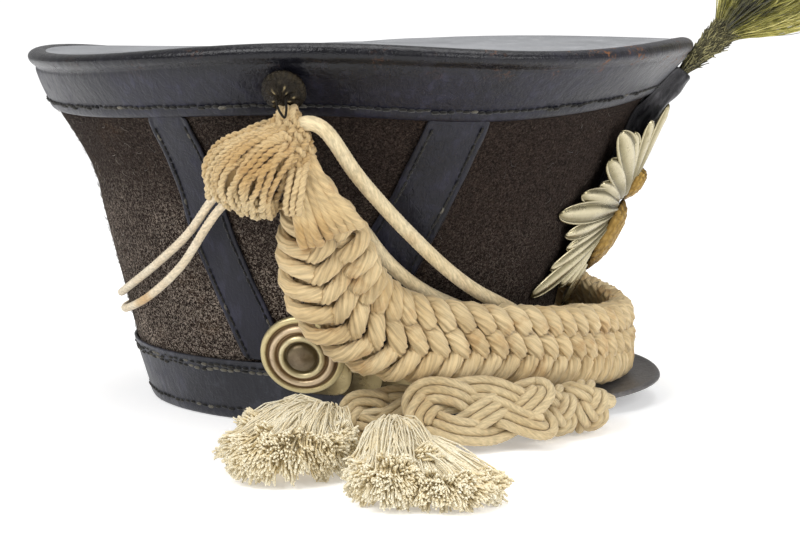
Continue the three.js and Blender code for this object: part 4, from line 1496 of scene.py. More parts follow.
@dataclass
class Plume:
    """Leather pocket, wrapped stem and feathers."""

    foot: tuple = (136.4, 0.0, 129.0)
    mouth: tuple = (155.9, 0.0, 151.6)
    bend: tuple = (178.5, 0.0, 174.5)
    tip: tuple = (284.0, 0.0, 282.0)
    # The pocket reaches down to this height behind the plate, closing the gaps between plate and felt; its
    # dark leather there partly stands in for the plate's shadow on the felt, painted shade.
    pocket_low: float = 97.0
    pocket: tuple = (
        (-13.0, -3.5), (-13.0, -2.7), (-12.2, -2.1), (-11.2, -2.7), (-8.0, -2.6), (-6.6, -1.2),
        (-5.4, -1.0), (-5.9, 0.6), (-5.2, 1.6), (-4.2, 2.2), (-4.4, 3.6), (-3.0, 4.7), (0.0, 5.4),
        (3.0, 4.7), (4.4, 3.6), (4.2, 2.2), (5.2, 1.6), (5.9, 0.6), (5.4, -1.0), (6.6, -1.2), (8.0, -2.6),
        (11.2, -2.7), (12.2, -2.1), (13.0, -2.7), (13.0, -3.5), (0.0, -3.6))
    neck: float = 0.228
    barbs: int = 3200
    hairs: int = 1000
    spread: float = 29.0
    seed: int = 31

    def build(self, leather: Material, feather: Material, stem: Material) -> None:
        """Builds and dresses the plume.

        Args:
            leather: finish of the pocket.
            feather: finish of the barbs.
            stem: finish of the stem.
        """
        foot, mouth = np.array(self.foot), np.array(self.mouth)
        axis = mouth - foot
        self.build_pocket(foot, mouth, leather)
        spine = evenly(curve_through(np.array((foot + 0.2 * axis, mouth, self.bend, self.tip)), 40), 1.0)
        part = np.linspace(0, 1, len(spine))
        tangent = unit(np.gradient(spine, axis=0))
        side = np.tile((0.0, 1.0, 0.0), (len(spine), 1))
        up = np.cross(tangent, side)
        swell = np.interp(part, (0.0, 0.09, 0.25, 1.0), (1.0, 1.1, 6.0, 6.2))
        taper = 1 - 0.93 * smooth(0.32, 0.9, part)
        shaft = Strands()
        shaft.add(spine, swell * taper, sides=20, shade=0.9)
        rng = np.random.default_rng(self.seed)
        share = np.linspace(0, 1, 5)
        begin = rng.uniform(0.1, 0.225, self.hairs)
        at = begin[:, None] + rng.uniform(0.02, 0.06, (self.hairs, 1)) * share
        turn = rng.uniform(0, math.tau, (self.hairs, 1)) + rng.normal(0, 0.8, (self.hairs, 1)) * share
        lift = 0.1 + rng.uniform(0, 0.5, (self.hairs, 1)) + rng.exponential(0.5, (self.hairs, 1)) * share ** 3
        hairs = self.around(at, turn, np.interp(at, part, swell) + lift, spine, part, side, up)
        dark = (rng.random(self.hairs) < 0.7) * rng.uniform(0.65, 1.0, self.hairs)
        shaft.add(hairs, rng.uniform(0.16, 0.3, (self.hairs, 1)), sides=3, shade=dark)
        add_piece("plume_stem", shaft.mesh(), stem)
        self.build_barbs(spine, part, side, up, feather)

    @staticmethod
    def around(at: Array, turn: Array, reach: Array, spine: Array, part: Array, side: Array,
               up: Array) -> Array:
        """Points about the plume's middle line.

        Args:
            at: places along the line.
            turn: angles round it.
            reach: distances from it.
            spine: points on the line.
            part: their places along it.
            side: direction across the plume at each.
            up: direction up from the plume at each.

        Returns:
            The points.
        """
        middle, across, above = (between_rows(at, part, values) for values in (spine, side, up))
        spoke = np.cos(turn)[..., None] * across + np.sin(turn)[..., None] * above
        return middle + reach[..., None] * spoke

    def build_pocket(self, foot: Array, mouth: Array, material: Material) -> None:
        """Builds the leather pocket that is sewn to the front of the crown and holds the stem.

        Args:
            foot: foot of the stem.
            mouth: the pocket's mouth.
            material: its finish.
        """
        away = np.array((0.757, 0.0, -0.653))
        slope = (mouth[0] - foot[0]) / (mouth[2] - foot[2])
        stand = foot[0] - float(FORM.front_x(np.zeros(1), np.array((foot[2],)))[0])

        def place(u: Array, across: Array, out: Array) -> Array:
            """Gives the surface's points."""
            z = self.pocket_low + (mouth[2] - self.pocket_low) * u
            low = FORM.front_x(np.zeros_like(z), z) + 3.3 + (stand - 3.3) * smooth(114, foot[2], z)
            x = np.where(z > foot[2], foot[0] + slope * (z - foot[2]), low)
            narrow = 0.3 + 0.7 * smooth(0.3, 0.6, u)
            crumple = 0.4 * np.sin(9 * u + across) + 0.55 * np.sin(31 * u + 2 * across)
            depth = out * np.where(out > 0, narrow, 1) + np.where(out > -2, crumple, 0)
            point = np.stack((x, across, z), -1) + depth[:, None] * away
            wall = FORM.front_x(point[:, 1], point[:, 2]) + np.where(point[:, 2] > 137, 1.6, 0.0)
            point[:, 0] = np.where(out < -3, wall - 0.6, point[:, 0])
            point[:, 0] = np.where(np.abs(across) > 10, np.minimum(point[:, 0], wall + 1.4), point[:, 0])
            return point

        add_piece("plume_pocket", swept(26, self.pocket, place), material, ("plume_socket",), 1)

    def build_barbs(self, spine: Array, part: Array, side: Array, up: Array, material: Material) -> None:
        """Builds the feathers' barbs, which flare from the stem and sweep to the tip.

        Args:
            spine: points along the plume's middle.
            part: their places, from 0 to 1.
            side: direction across the plume at each point.
            up: direction up from the plume at each point.
            material: the barbs' finish.
        """
        rng = np.random.default_rng(self.seed)
        share = np.linspace(0, 1, 6)
        early = rng.random(self.barbs) < 0.5
        root = self.neck + np.where(early, 0.08 * rng.random(self.barbs), 0.63 * rng.random(self.barbs))
        turn = rng.uniform(0, math.tau, self.barbs)
        long = rng.uniform(0.2, 0.34, self.barbs) * (1.05 - 0.35 * root)
        wide = self.spread * rng.random(self.barbs) ** 0.6 * (1 - 0.55 * smooth(0.55, 0.95, root))
        at = np.minimum(root[:, None] + long[:, None] * share, 1.0)
        rise = wide[:, None] * (1 - (1 - share) ** 1.8)
        twist = turn[:, None] + 0.3 * share * rng.normal(0, 1, (self.barbs, 1))
        start = 1.5 + 3.5 * (1 - smooth(0.25, 0.7, root))
        paths = self.around(at, twist, start[:, None] + rise, spine, part, side, up)
        sway = rng.normal(0, 2.6, (self.barbs, 1, 3)) * (share ** 2)[None, :, None]
        sag = np.array((0, 0, -2.5)) * (share ** 2)[None, :, None]
        radius = 0.36 * (1 - 0.8 * share)[None] * rng.uniform(0.35, 1.3, (self.barbs, 1))
        strands = Strands()
        streak = 0.5 + 0.5 * np.sin(3 * turn + 5 * root + 0.6) * np.cos(2 * turn - 1.1)
        dark = np.exp(-((np.sin(turn) - 0.1) / 0.3) ** 2) * smooth(0.6, 0.3, root)
        edge = 0.25 * smooth(0.4, 0.95, np.abs(np.sin(turn)))
        shade = np.clip(0.35 * streak + 0.7 * rng.random(self.barbs) + edge - 0.5 * dark, 0, 1)
        strands.add(paths + sway + sag, radius, sides=3, shade=shade)
        add_piece("plume_barbs", strands.mesh(), material, ("plume",))


# Cap lines

@dataclass
class Weave:
    """A closed cord laid as a knot, which passes over and under itself in turn."""

    plan: Array

    def crossings(self) -> Array:
        """Places along the cord where it meets itself, as shares of its points in order.

        Returns:
            The places.
        """
        start = self.plan[:-1]
        step = np.diff(self.plan, axis=0)
        count = len(start)
        gap = start[None, :, :] - start[:, None, :]
        cross = step[:, None, 0] * step[None, :, 1] - step[:, None, 1] * step[None, :, 0]
        cross = np.where(np.abs(cross) < 1e-12, np.inf, cross)
        here = (gap[..., 0] * step[None, :, 1] - gap[..., 1] * step[None, :, 0]) / cross
        there = (gap[..., 0] * step[:, None, 1] - gap[..., 1] * step[:, None, 0]) / cross
        i, j = np.nonzero((here >= 0) & (here < 1) & (there >= 0) & (there < 1))
        apart = np.abs(i - j)
        far = (apart > 2) & (apart < count - 2)
        return np.sort((i + here[i, j])[far])

    def heights(self) -> Array:
        """Height at each point, from -1 to 1: over and under at each crossing in turn.

        Returns:
            The heights.
        """
        met = self.crossings()
        count = len(self.plan) - 1
        met = np.concatenate((met[-1:] - count, met, met[:1] + count))
        at = np.arange(count + 1)
        low = np.clip(np.searchsorted(met, at, side="right") - 1, 0, len(met) - 2)
        part = (at - met[low]) / np.maximum(met[low + 1] - met[low], 1e-9)
        sign = np.where(low % 2 == 0, 1.0, -1.0)
        return np.tanh(1.9 * sign * np.cos(math.pi * part)) / math.tanh(1.9)


@dataclass
class Festoon:
    """The plaited band that hangs from both knots round the front."""

    rows: tuple = (
        (5, -149, 118, 6), (9.5, -144.5, 105, 11.5), (12.5, -138, 89.5, 18.6), (14.7, -130.5, 73.6, 21),
        (20.7, -122, 59, 21.2), (33.5, -114, 48.4, 20.2), (51.5, -104.8, 43.6, 18), (72.5, -92, 40.7, 16.6),
        (92.5, -75.3, 37, 17.0), (111.5, -50.5, 33, 18), (124, -25.5, 29.8, 18.4), (129.7, 0, 28.6, 18.6))
    strands: int = 5
    cord: float = 3.75
    wide: float = 1.02
    thin: float = 0.9
    period: float = 46.0
    lead: float = 8.0
    lift: float = 3.5
    camber: float = 1.4
    plies: int = 7
    groove: float = 0.17
    pitch: float = -33.0
    step: float = 1.35
    seed: int = 3

    def build(self, material: Material) -> None:
        """Builds the plait from twisted strands that cross from edge to edge.

        Args:
            material: its finish.
        """
        rows = both_sides(np.array(self.rows, float))
        line = curve_through(rows[:, :3], 30)
        halves = through_rows(np.arange(len(rows)), rows[:, 3], np.linspace(0, len(rows) - 1, len(line)))
        whole = evenly(np.hstack((line, halves)), self.step)
        line, half = whole[:, :3], whole[:, 3]
        along = length_along(line)
        tangent = unit(np.gradient(line, axis=0))
        level = line * np.array((1, 1, 0))
        outward = unit(level - tangent * (level * tangent).sum(1)[:, None])
        across = np.cross(tangent, outward)
        rng = np.random.default_rng(self.seed)
        collected = Strands()
        run = 5 * (np.logaddexp(0, (along - self.lead) / 5)
                   - np.logaddexp(0, (along - along[-1] + self.lead) / 5))
        cord = self.cord * (0.86 + 0.14 * smooth(12, 62, np.minimum(along, along[-1] - along)))
        for k in range(self.strands):
            phase = math.tau * (run / self.period + k / self.strands)
            swing = np.arcsin(0.985 * np.sin(phase)) / math.asin(0.985)
            heading = np.cos(phase) / np.sqrt(np.cos(phase) ** 2 + 0.02)
            reach = np.maximum(half - cord * 0.82, 3.0)
            lift = self.lift * np.minimum(1, 0.5 + half / 34)
            over = 1 - 2 * smooth(0.16, 0.52, swing)
            dip = 1 - 0.85 * np.exp(-((swing + 0.34) / 0.12) ** 2)
            height = lift * heading * over * dip - self.camber * swing ** 2
            wander = 0.3 * np.sin(along / 9 + 2 * k)
            path = line + across * (reach * swing + wander)[:, None] + outward * height[:, None]
            tip = math.pi / 2 * np.sign(swing) * np.abs(swing) ** 8
            facing = np.cos(tip)[:, None] * outward + np.sin(tip)[:, None] * across
            collected.add(path, cord * rng.uniform(0.96, 1.04), sides=28, lobes=self.plies,
                          groove=self.groove,
                          pitch=self.pitch, shade=rng.random(), flat=(facing, self.wide, self.thin))
        add_piece("plait", collected.mesh(), material, ("festoon",))


@dataclass
class Knots:
    """The festoon's knot heads and the right one's skirt of rope loops."""

    centre: tuple = (2.0, 150.5, 127.3)
    rope: float = 1.45
    head_rope: float = 1.36
    lays: int = 11
    head_rows: tuple = (
        (13.0, 3.2), (10.0, 5.6), (5.0, 8.0), (0.0, 9.8), (-4.0, 10.6), (-8.0, 10.2), (-11.0, 8.6))
    cords: int = 8
    outer: tuple = (
        (1, 137, 1), (-9, 133.4, 3), (-18, 130, 3.5), (-26.5, 124.8, 2), (-30.5, 118, 0), (-30, 111.5, -2))
    middle: tuple = (
        (2, 131, 7), (-6, 127.5, 11), (-13.5, 122, 13.5), (-18.5, 115.5, 13), (-20.5, 109.5, 10),
        (-20, 105, 6))
    inner: tuple = (
        (7, 124, 9), (3, 119.5, 11.5), (-0.5, 114, 12.5), (-2.5, 108.5, 11), (-4, 104.5, 8), (-5, 101, 4))
    ropes: int = 15
    brown: tuple = (-7.0, 118.0)
    seed: int = 12

    def head(self, strands: Strands, side: int) -> None:
        """Winds a knot head from rope, with a loop over its top to the wire.

        Args:
            strands: the collection to add to.
            side: -1 for the right, 1 for the left.
        """
        centre = np.array(self.centre) * (1, side, 1)
        heights, reaches = np.array(self.head_rows)[::-1].T
        z = np.linspace(heights[-1], heights[0], 40)
        reach = through_rows(heights, reaches, z)[:, 0] - 1.3 * self.head_rope
        lean = 0.105 * (z - heights[0])
        for slot in range(self.lays):
            for hand in (-1, 1):
                turn = math.tau * slot / self.lays + hand * lean
                lift = reach + hand * 0.95 * np.cos(self.lays * lean)
                lay = np.stack((lift * np.cos(turn), lift * np.sin(turn), z), -1)
                strands.add(centre + lay, self.head_rope * 1.08, sides=8, lobes=2, groove=0.4, pitch=4.4,
                            shade=0.3 + 0.05 * slot)
        rows = np.linspace(heights[0], heights[-1], 24)
        body = centre + np.outer(rows, (0, 0, 1.0))
        strands.add(body, through_rows(heights, reaches, rows)[:, 0] - 1.5, sides=20, shade=0.6)
        for shift in (-2.4, 0.0, 2.4):
            arc = np.linspace(-0.5, math.pi + 0.5, 30)
            loop = centre + np.stack((np.full(30, shift), 3.9 * np.cos(arc), 9.5 + 4.0 * np.sin(arc)), -1)
            strands.add(loop, 1.45, sides=12, lobes=3, groove=0.2, pitch=7.0, shade=0.15)

    def skirt(self, strands: Strands) -> None:
        """Lays the rope loops that leave the right knot sideways and curl down.

        Args:
            strands: the collection to add to.
        """
        rng = np.random.default_rng(self.seed)
        outer, middle, inner = (np.array(rows, float) for rows in (self.outer, self.middle, self.inner))
        depth_at = self.centre[1]
        for layer, shrink in enumerate((1.0, 0.78, -0.35)):
            for i in range(self.ropes):
                a = (i + 0.5 * layer) / (self.ropes - 1) + rng.normal(0, 0.006)
                share = ((2 * a - 1) * (a - 1), 4 * a * (1 - a), a * (2 * a - 1))
                rows = share[0] * outer + share[1] * middle + share[2] * inner
                rows[:, 2] = rows[:, 2] * shrink - (3.0 if shrink < 0 else 2.4 * layer)
                rows = rows + rng.normal(0, 0.65, rows.shape)
                way = unit(rows[-1] - rows[-2])
                long = rng.uniform(-1.2, 1.6) + 1.2 * layer
                tip = rows[-1] + way * long
                back = np.array((rng.normal(0, 0.7), rng.normal(0, 0.4), -2.5))
                rows = np.vstack((rows[:-1], tip, tip + way * 1.3 + 0.5 * back, tip + back,
                                  tip - 7 * way + back))
                points = np.stack((rows[:, 0], -depth_at - rows[:, 2], rows[:, 1]), -1)
                path = evenly(curve_through(points, 10), 1.1)
                near = ((path[:, 0] - self.brown[0]) / 10) ** 2 + ((path[:, 2] - self.brown[1]) / 9) ** 2
                paler = smooth(113, 104, path[:, 2]) * smooth(-2, -13, path[:, 0])
                shade = 0.2 + 0.7 * np.exp(-near) - 0.6 * paler + 0.5 * rng.random() - 0.1
                strands.add(path, self.rope * rng.uniform(0.92, 1.08), sides=8,
                            shade=np.clip(shade, 0, 1)[None], **ROPE_LAY)
        core = 0.5 * (middle + 0.5 * (outer + inner))
        points = np.stack((core[:, 0], -depth_at - 0.35 * core[:, 2], core[:, 1]), -1)
        core = evenly(curve_through(points, 10), 2.0)
        part = np.linspace(0, 1, len(core))
        strands.add(core, 3 + 4.5 * np.sin(math.pi * part * 0.85), sides=16, shade=0.8)

    def neck(self, strands: Strands, side: int) -> None:
        """Lays the cords that fan out from a knot head to the plait's first crossing.

        Args:
            strands: the collection to add to.
            side: -1 for the right, 1 for the left.
        """
        rng = np.random.default_rng(self.seed + 1)
        for a in np.linspace(0, 1, self.cords):
            rows = np.array(((4 + 7 * a, 153 - a, 122), (5.5 + 12 * a, 155.6 - 2 * a, 109 + a),
                             (6.5 + 20.5 * a, 153 - 4 * a, 93 + 6.5 * a),
                             (7 + 22 * a, 147 - 4 * a, 88 + 7 * a)))
            rows = rows + rng.normal(0, 0.3, rows.shape) + np.array((0, 0, 1)) * rng.normal(0, 1.5)
            path = evenly(curve_through(rows * (1, side, 1), 12), 0.9)
            brown = (1 - a) * smooth(104, 93, path[:, 2])
            strands.add(path, 2.15, sides=14, lobes=5, groove=0.14, pitch=-26.0,
                        shade=np.clip(0.2 + 0.3 * rng.random() + 0.7 * brown, 0, 1)[None])
        for shift in (0.0, 2.6, 5.0):
            rows = np.array(((5 + shift, 154, 122), (4.6 + shift, 160, 115), (3.6 + shift, 160.5, 108),
                             (2.6 + shift, 158.5, 102.5), (2.4 + shift, 155, 100.5), (2.8 + shift, 153, 106)))
            path = evenly(curve_through((rows + rng.normal(0, 0.3, rows.shape)) * (1, side, 1), 12), 0.9)
            strands.add(path, self.rope, sides=10, shade=0.35, **ROPE_LAY)

    def build(self, material: Material) -> None:
        """Builds and dresses both knots.

        Args:
            material: its finish.
        """
        for name, side in SIDES:
            strands = Strands()
            self.head(strands, side)
            self.neck(strands, side)
            if name == "right":
                self.skirt(strands)
            add_piece(f"rope_knot_{name}", strands.mesh(), material, (f"festoon_knot_{name}",))


@dataclass
class BackCords:
    """Two thin cords round the back, from knot to knot."""

    radius: float = 1.7
    stain: tuple = (-75.0, -78.0, 54.0)
    upper: tuple = ((-8.8, -146.6, 122.8), (-26, -143, 108.5), (-45.5, -119, 88), (-66, -91, 71.8),
                    (-92.8, -49.5, 53.3), (-105.2, 0, 46.5))
    lower: tuple = ((-5, -145.9, 120.4), (-26.5, -140, 101.5), (-50.3, -112, 73.8), (-72.5, -82, 55.9),
                    (-88.8, -56.5, 46.5), (-103.8, 0, 39.5))

    def build(self, material: Material) -> None:
        """Builds and dresses both cords.

        Args:
            material: its finish.
        """
        for name, route in (("upper", self.upper), ("lower", self.lower)):
            path = evenly(curve_through(both_sides(np.array(route, float)), 24), 0.9)
            strands = Strands()
            far = np.linalg.norm(path - np.array(self.stain), axis=1)
            shade = 0.1 + (0.8 * smooth(13, 5, far) if name == "lower" else 0 * far)
            strands.add(path, self.radius, sides=16, braid=0.2, pitch=40.0, shade=shade[None])
            add_piece(f"thin_cord_{name}", strands.mesh(), material, (f"back_cord_{name}",))


@dataclass
class Slide:
    """A turk's-head slide: a barrel of interlaced cord."""

    name: str
    node: str
    centre: tuple
    axis: tuple = SLIDE_AXIS
    radius: float = 11.3
    half: float = 8.4
    cord: float = 1.95
    leads: int = 3
    bights: int = 5
    passes: tuple = (-2.05, 2.05)

    def build(self, material: Material) -> Piece:
        """Builds and dresses the slide.

        Args:
            material: its finish.

        Returns:
            The piece.
        """
        t = np.linspace(0, math.tau, 481)
        angle = self.leads * t
        rise = np.cos(self.bights * t)
        plan = np.stack(((3 + rise) * np.cos(angle), (3 + rise) * np.sin(angle)), -1)
        height = Weave(plan).heights()
        axis = unit(np.array(self.axis))
        up = np.array((0.0, 0.0, 1.0))
        side = np.cross(axis, up)
        barrel = self.radius - 1.05 * self.cord
        strands = Strands()
        chart = np.stack((barrel * angle, (self.half - self.cord - 0.6) * rise), -1)
        normal = left_of(chart)
        for shift in self.passes:
            spot = chart + shift * normal
            turn = spot[:, 0] / barrel
            along = np.clip(spot[:, 1], -self.half + 0.8, self.half - 0.8)
            bulge = barrel - 1.2 * (along / self.half) ** 2 + 1.45 * height - 1.2
            path = (np.array(self.centre) + along[:, None] * axis
                    + bulge[:, None] * (np.cos(turn)[:, None] * up + np.sin(turn)[:, None] * side))
            strands.add(path, self.cord, shade=0.35, **FINE_CORD)
        inner = np.linspace(-1, 1, 14)
        core = np.array(self.centre) + np.outer(inner * (self.half - 0.6), axis)
        strands.add(core, barrel - 1.6 - 1.5 * inner ** 2, sides=24, shade=0.9)
        return add_piece(self.name, strands.mesh(), material, (self.node,))


@dataclass
class Mat:
    """A flat woven knot of doubled cord at a line's end."""

    name: str
    node: str
    start: tuple
    end: tuple
    half: float
    lean: float
    cord: float = 1.95
    passes: tuple = (-3.9, 0.0, 3.9)
    lift: float = 2.15
    twist: float = 0.35
    seed: int = 8

    def build(self, material: Material) -> Piece:
        """Builds and dresses the mat.

        Args:
            material: its finish.

        Returns:
            The piece.
        """
        start, end = np.array(self.start, float), np.array(self.end, float)
        long = float(np.linalg.norm(end - start))
        along = (end - start) / long
        level = unit(np.array((-along[1], along[0], 0)))
        slope = math.radians(self.lean)
        up = level * math.cos(slope) + np.array((0, 0, math.sin(slope)))
        face = unit(np.cross(along, up))
        margin = abs(self.passes[0]) + self.cord
        t = np.linspace(0, math.tau, 601)
        x = np.cos(2 * t + self.twist)
        y = np.cos(3 * t)
        y = y * (1 - 0.16 * x ** 2)
        plan = np.stack(((long / 2 - margin) * x, (self.half - margin) * y), -1)
        height = Weave(plan).heights()
        normal = left_of(plan)
        middle = (start + end) / 2
        strands = Strands()
        rng = np.random.default_rng(self.seed)
        for shift in self.passes:
            spot = plan + shift * normal
            path = middle + spot[:, :1] * along + spot[:, 1:] * up + (self.lift * height)[:, None] * face
            strands.add(path, self.cord, shade=0.2 + 0.5 * rng.random(), **FINE_CORD)
        return add_piece(self.name, strands.mesh(), material, (self.node,))


@dataclass
class Tassel:
    """A mop of cut yarn that lies on the table: combed over its crest, with clumps of cut ends below."""

    name: str
    node: str
    head: tuple
    mounds: tuple
    seed: int
    locks: int = 100
    yarns: int = 22
    yarn: float = 0.4
    steps: int = 8

    def lock_end(self, rng: np.random.Generator) -> tuple[Array, Array, float]:
        """Picks where a lock ends.

        Args:
            rng: the tassel's random source.

        Returns:
            The spot on a mound, the direction out of it and the mound's top.
        """
        head = np.array(self.head, float)
        while True:
            centre, radii = (np.array(v, float) for v in self.mounds[rng.integers(len(self.mounds))])
            way = unit(rng.normal(size=3))
            spot = centre + radii * way
            out = unit(way / radii)
            away = unit((spot - head) * (1, 1, 0))
            others = ((c, r) for c, r in self.mounds if tuple(c) != tuple(centre))
            buried = any(np.sum(((spot - c) / np.array(r)) ** 2) < 0.97 for c, r in others)
            if 1.2 < spot[2] < centre[2] + 0.84 * radii[2] and out @ away > 0.1 and not buried:
                return spot, out, centre[2] + radii[2]

    def build(self, material: Material) -> Piece:
        """Builds and dresses the tassel.

        Args:
            material: its finish.

        Returns:
            The piece.
        """
        rng = np.random.default_rng(self.seed)
        head = np.array(self.head, float)
        share = np.linspace(0, 1, self.steps)
        rest = 1 - share
        weights = np.stack((rest ** 3, 3 * share * rest ** 2, 3 * share ** 2 * rest, share ** 3), 1)
        paths, shades = [], []
        for lock in range(self.locks):
            spot, out, top = self.lock_end(rng)
            over = lock % 5 < 2
            inside = spot - out * rng.uniform(6, 9)
            crest = (top - 0.166 * head[2] - 0.334 * inside[2] - 0.091 * spot[2]) / 0.408
            arch = head + rng.uniform(0.4, 0.55) * (spot - head)
            arch[2] = crest * (rng.uniform(0.76, 0.84) if over else rng.uniform(0.4, 0.72))
            side = unit(np.cross(spot - head, (0, 0, 1.0)))
            tone = rng.random()
            for _ in range(self.yarns):
                apart = rng.normal(0, 2.1, 2)
                rise = np.cross(side, out)
                beyond = 1.9 - 0.24 * (apart @ apart) + rng.normal(0, 0.6)
                end = spot + side * apart[0] + rise * apart[1] + out * beyond
                begin = head + unit(rng.normal(size=3)) * rng.uniform(1.5, 6.0)
                turn = arch + side * rng.normal(0, 4.0) + np.array((0, 0, rng.normal(0, 1.4)))
                inward = end - out * rng.uniform(5, 9) + rng.normal(0, 0.8, 3)
                path = weights @ np.stack((begin, turn, inward, end))
                wave = share * rng.uniform(5, 13) + rng.uniform(0, 6)
                crimp = np.outer(np.sin(wave), rng.normal(0, 1, 3))
                path = path + crimp * (0.16 + 0.3 * smooth(0.6, 1, share))[:, None]
                path[:, 2] = np.maximum(path[:, 2], self.yarn + 0.05 + 0.4 * rng.random())
                paths.append(path)
                # A deeper golden tone just short of each cut end, inside the clumps, is painted shade of the
                # recesses between them.
                inner = 0.75 * np.exp(-((share - 0.84) / 0.11) ** 2) * (0.4 + 0.6 * rng.random())
                shades.append(np.clip(0.35 * tone + 0.35 * rng.random() - 0.1 + inner, 0, 1))
        strands = Strands()
        thick = self.yarn * (1 + 0.3 * smooth(0.86, 1.0, share))
        strands.add(np.array(paths), thick, sides=3, shade=np.array(shades))
        for centre, radii in self.mounds:
            part = np.linspace(-1, 1, 15)
            core = np.array(centre, float) - (0, -2, 2) + np.outer(part * 0.55 * radii[1], (0, 1.0, 0))
            strands.add(core, 0.55 * min(radii[0], radii[2]) * np.sqrt(1.02 - part ** 2), sides=18, shade=1.0)
        turns = np.linspace(0, math.tau * 6, 6 * 30)
        lead = unit((np.array(self.mounds[0][0], float) - head) * (1, 1, 0))
        across = np.array((-lead[1], lead[0], 0.0))
        wrap = head + np.outer(np.linspace(-4.5, 4.5, len(turns)), lead) + 7.0 * (
            np.cos(turns)[:, None] * np.array((0, 0, 1.0)) + np.sin(turns)[:, None] * across)
        strands.add(wrap, 0.95, sides=7, lobes=2, groove=0.2, pitch=4.0, shade=0.4)
        return add_piece(self.name, strands.mesh(), material, (self.node,))


def relaxed(path: Array, rounds: int) -> Array:
    """Eases the bends of an evenly spaced path, as a limp cord's own stiffness does.

    Args:
        path: points along the cord.
        rounds: how often each point is drawn towards its neighbours.

    Returns:
        The eased points, with both ends where they were.
    """
    path = path.copy()
    for _ in range(rounds):
        path[1:-1] = 0.5 * path[1:-1] + 0.25 * (path[:-2] + path[2:])
    return path


@dataclass
class LooseLine:
    """A round braided cord from the knot behind the festoon, through the slides and its mat to its tassel."""

    name: str
    nodes: tuple
    route: tuple
    hidden: tuple
    radius: float = 2.9
    step: float = 1.0
    easing: int = 70

    def build(self, material: Material, pieces: Sequence[Piece]) -> None:
        """Args:
            material: the cord's finish.
            pieces: the pieces on the cord; not used.
        """
        shown = curve_through(np.array(self.route, float), 24)
        seen = length_along(shown)[-1]
        whole = curve_through(np.array((*self.route, *self.hidden), float), 24)
        path = relaxed(evenly(whole, self.step), self.easing)
        along = length_along(path)
        radius = self.radius * (1 - 0.42 * smooth(seen + 2, seen + 14, along))
        strands = Strands()
        strands.add(path, radius, sides=24, braid=0.15, pitch=60.0, shade=0.25)
        cord = add_piece(self.name, strands.mesh(), material, self.nodes)
        places = metres(path)


# Stage

@dataclass
class Studio:
    """Camera at the photograph's angle, pale floor and soft light."""

    eye: tuple = (129.62, -812.74, 174.13)
    right: tuple = (0.9920, 0.1266, 0.0004)
    up: tuple = (-0.018, 0.1382, 0.9902)
    ahead: tuple = (-0.1253, 0.9823, -0.1394)
    lens: float = 79.26
    sensor: float = 36.0
    world: float = 0.42
    backdrop: float = 1.1
    floor_radius: float = 1.6
    floor_glow: float = 0.3
    floor_tone: tuple = (0.93, 0.93, 0.935, 1)
    aim: tuple = (0, 0, 0.08)
    lights: tuple = (
        ("key", (-0.95, -1.15, 1.35), 1.3, 26.0), ("fill", (1.25, -0.95, 0.9), 1.1, 15.0),
        ("top", (0.1, 0.2, 1.9), 1.6, 20.0))

    def place_camera(self) -> None:
        """Makes the camera."""
        data = bpy.data.cameras.new("camera")
        data.lens = self.lens
        data.sensor_width = self.sensor
        data.clip_start = 0.01
        data.clip_end = 100.0
        camera = bpy.data.objects.new("camera", data)
        bpy.context.scene.collection.objects.link(camera)
        turn = Matrix((self.right, self.up, [-x for x in self.ahead])).transposed().to_quaternion()
        camera.matrix_world = Matrix.Translation(metres(np.array(self.eye))) @ turn.to_matrix().to_4x4()
        bpy.context.scene.camera = camera

    def light(self) -> None:
        """Makes the lights and the world."""
        scene = bpy.context.scene
        scene.view_settings.view_transform = "Standard"
        world = bpy.data.worlds.new("studio")
        world.use_nodes = True
        background = world.node_tree.nodes["Background"]
        background.inputs[0].default_value = (1, 1, 1, 1)
        nodes = Nodes(world.node_tree)
        ray = nodes.add("LightPath").outputs["Is Camera Ray"]
        strength = nodes.times_plus(ray, self.backdrop - self.world, self.world)
        nodes.tree.links.new(strength, background.inputs[1])
        scene.world = world
        for name, place, size, power in self.lights:
            data = bpy.data.lights.new(name, "AREA")
            data.shape = "DISK"
            data.size = size
            data.energy = power
            light = bpy.data.objects.new(name, data)
            light.location = place
            towards = Vector(self.aim) - Vector(place)
            light.rotation_euler = towards.to_track_quat("-Z", "Y").to_euler()
            scene.collection.objects.link(light)

    def lay_floor(self) -> None:
        """Makes the floor."""
        bm = bmesh.new()
        bmesh.ops.create_circle(bm, cap_ends=True, segments=96, radius=self.floor_radius)
        mesh = bpy.data.meshes.new("floor")
        bm.to_mesh(mesh)
        bm.free()
        material, _, _ = Finish("floor", roughness=0.8).start(
            Base_Color=self.floor_tone, Emission_Color=(1, 1, 1, 1), Emission_Strength=self.floor_glow)
        mesh.materials.append(material)
        floor = bpy.data.objects.new("floor", mesh)
        bpy.context.scene.collection.objects.link(floor)


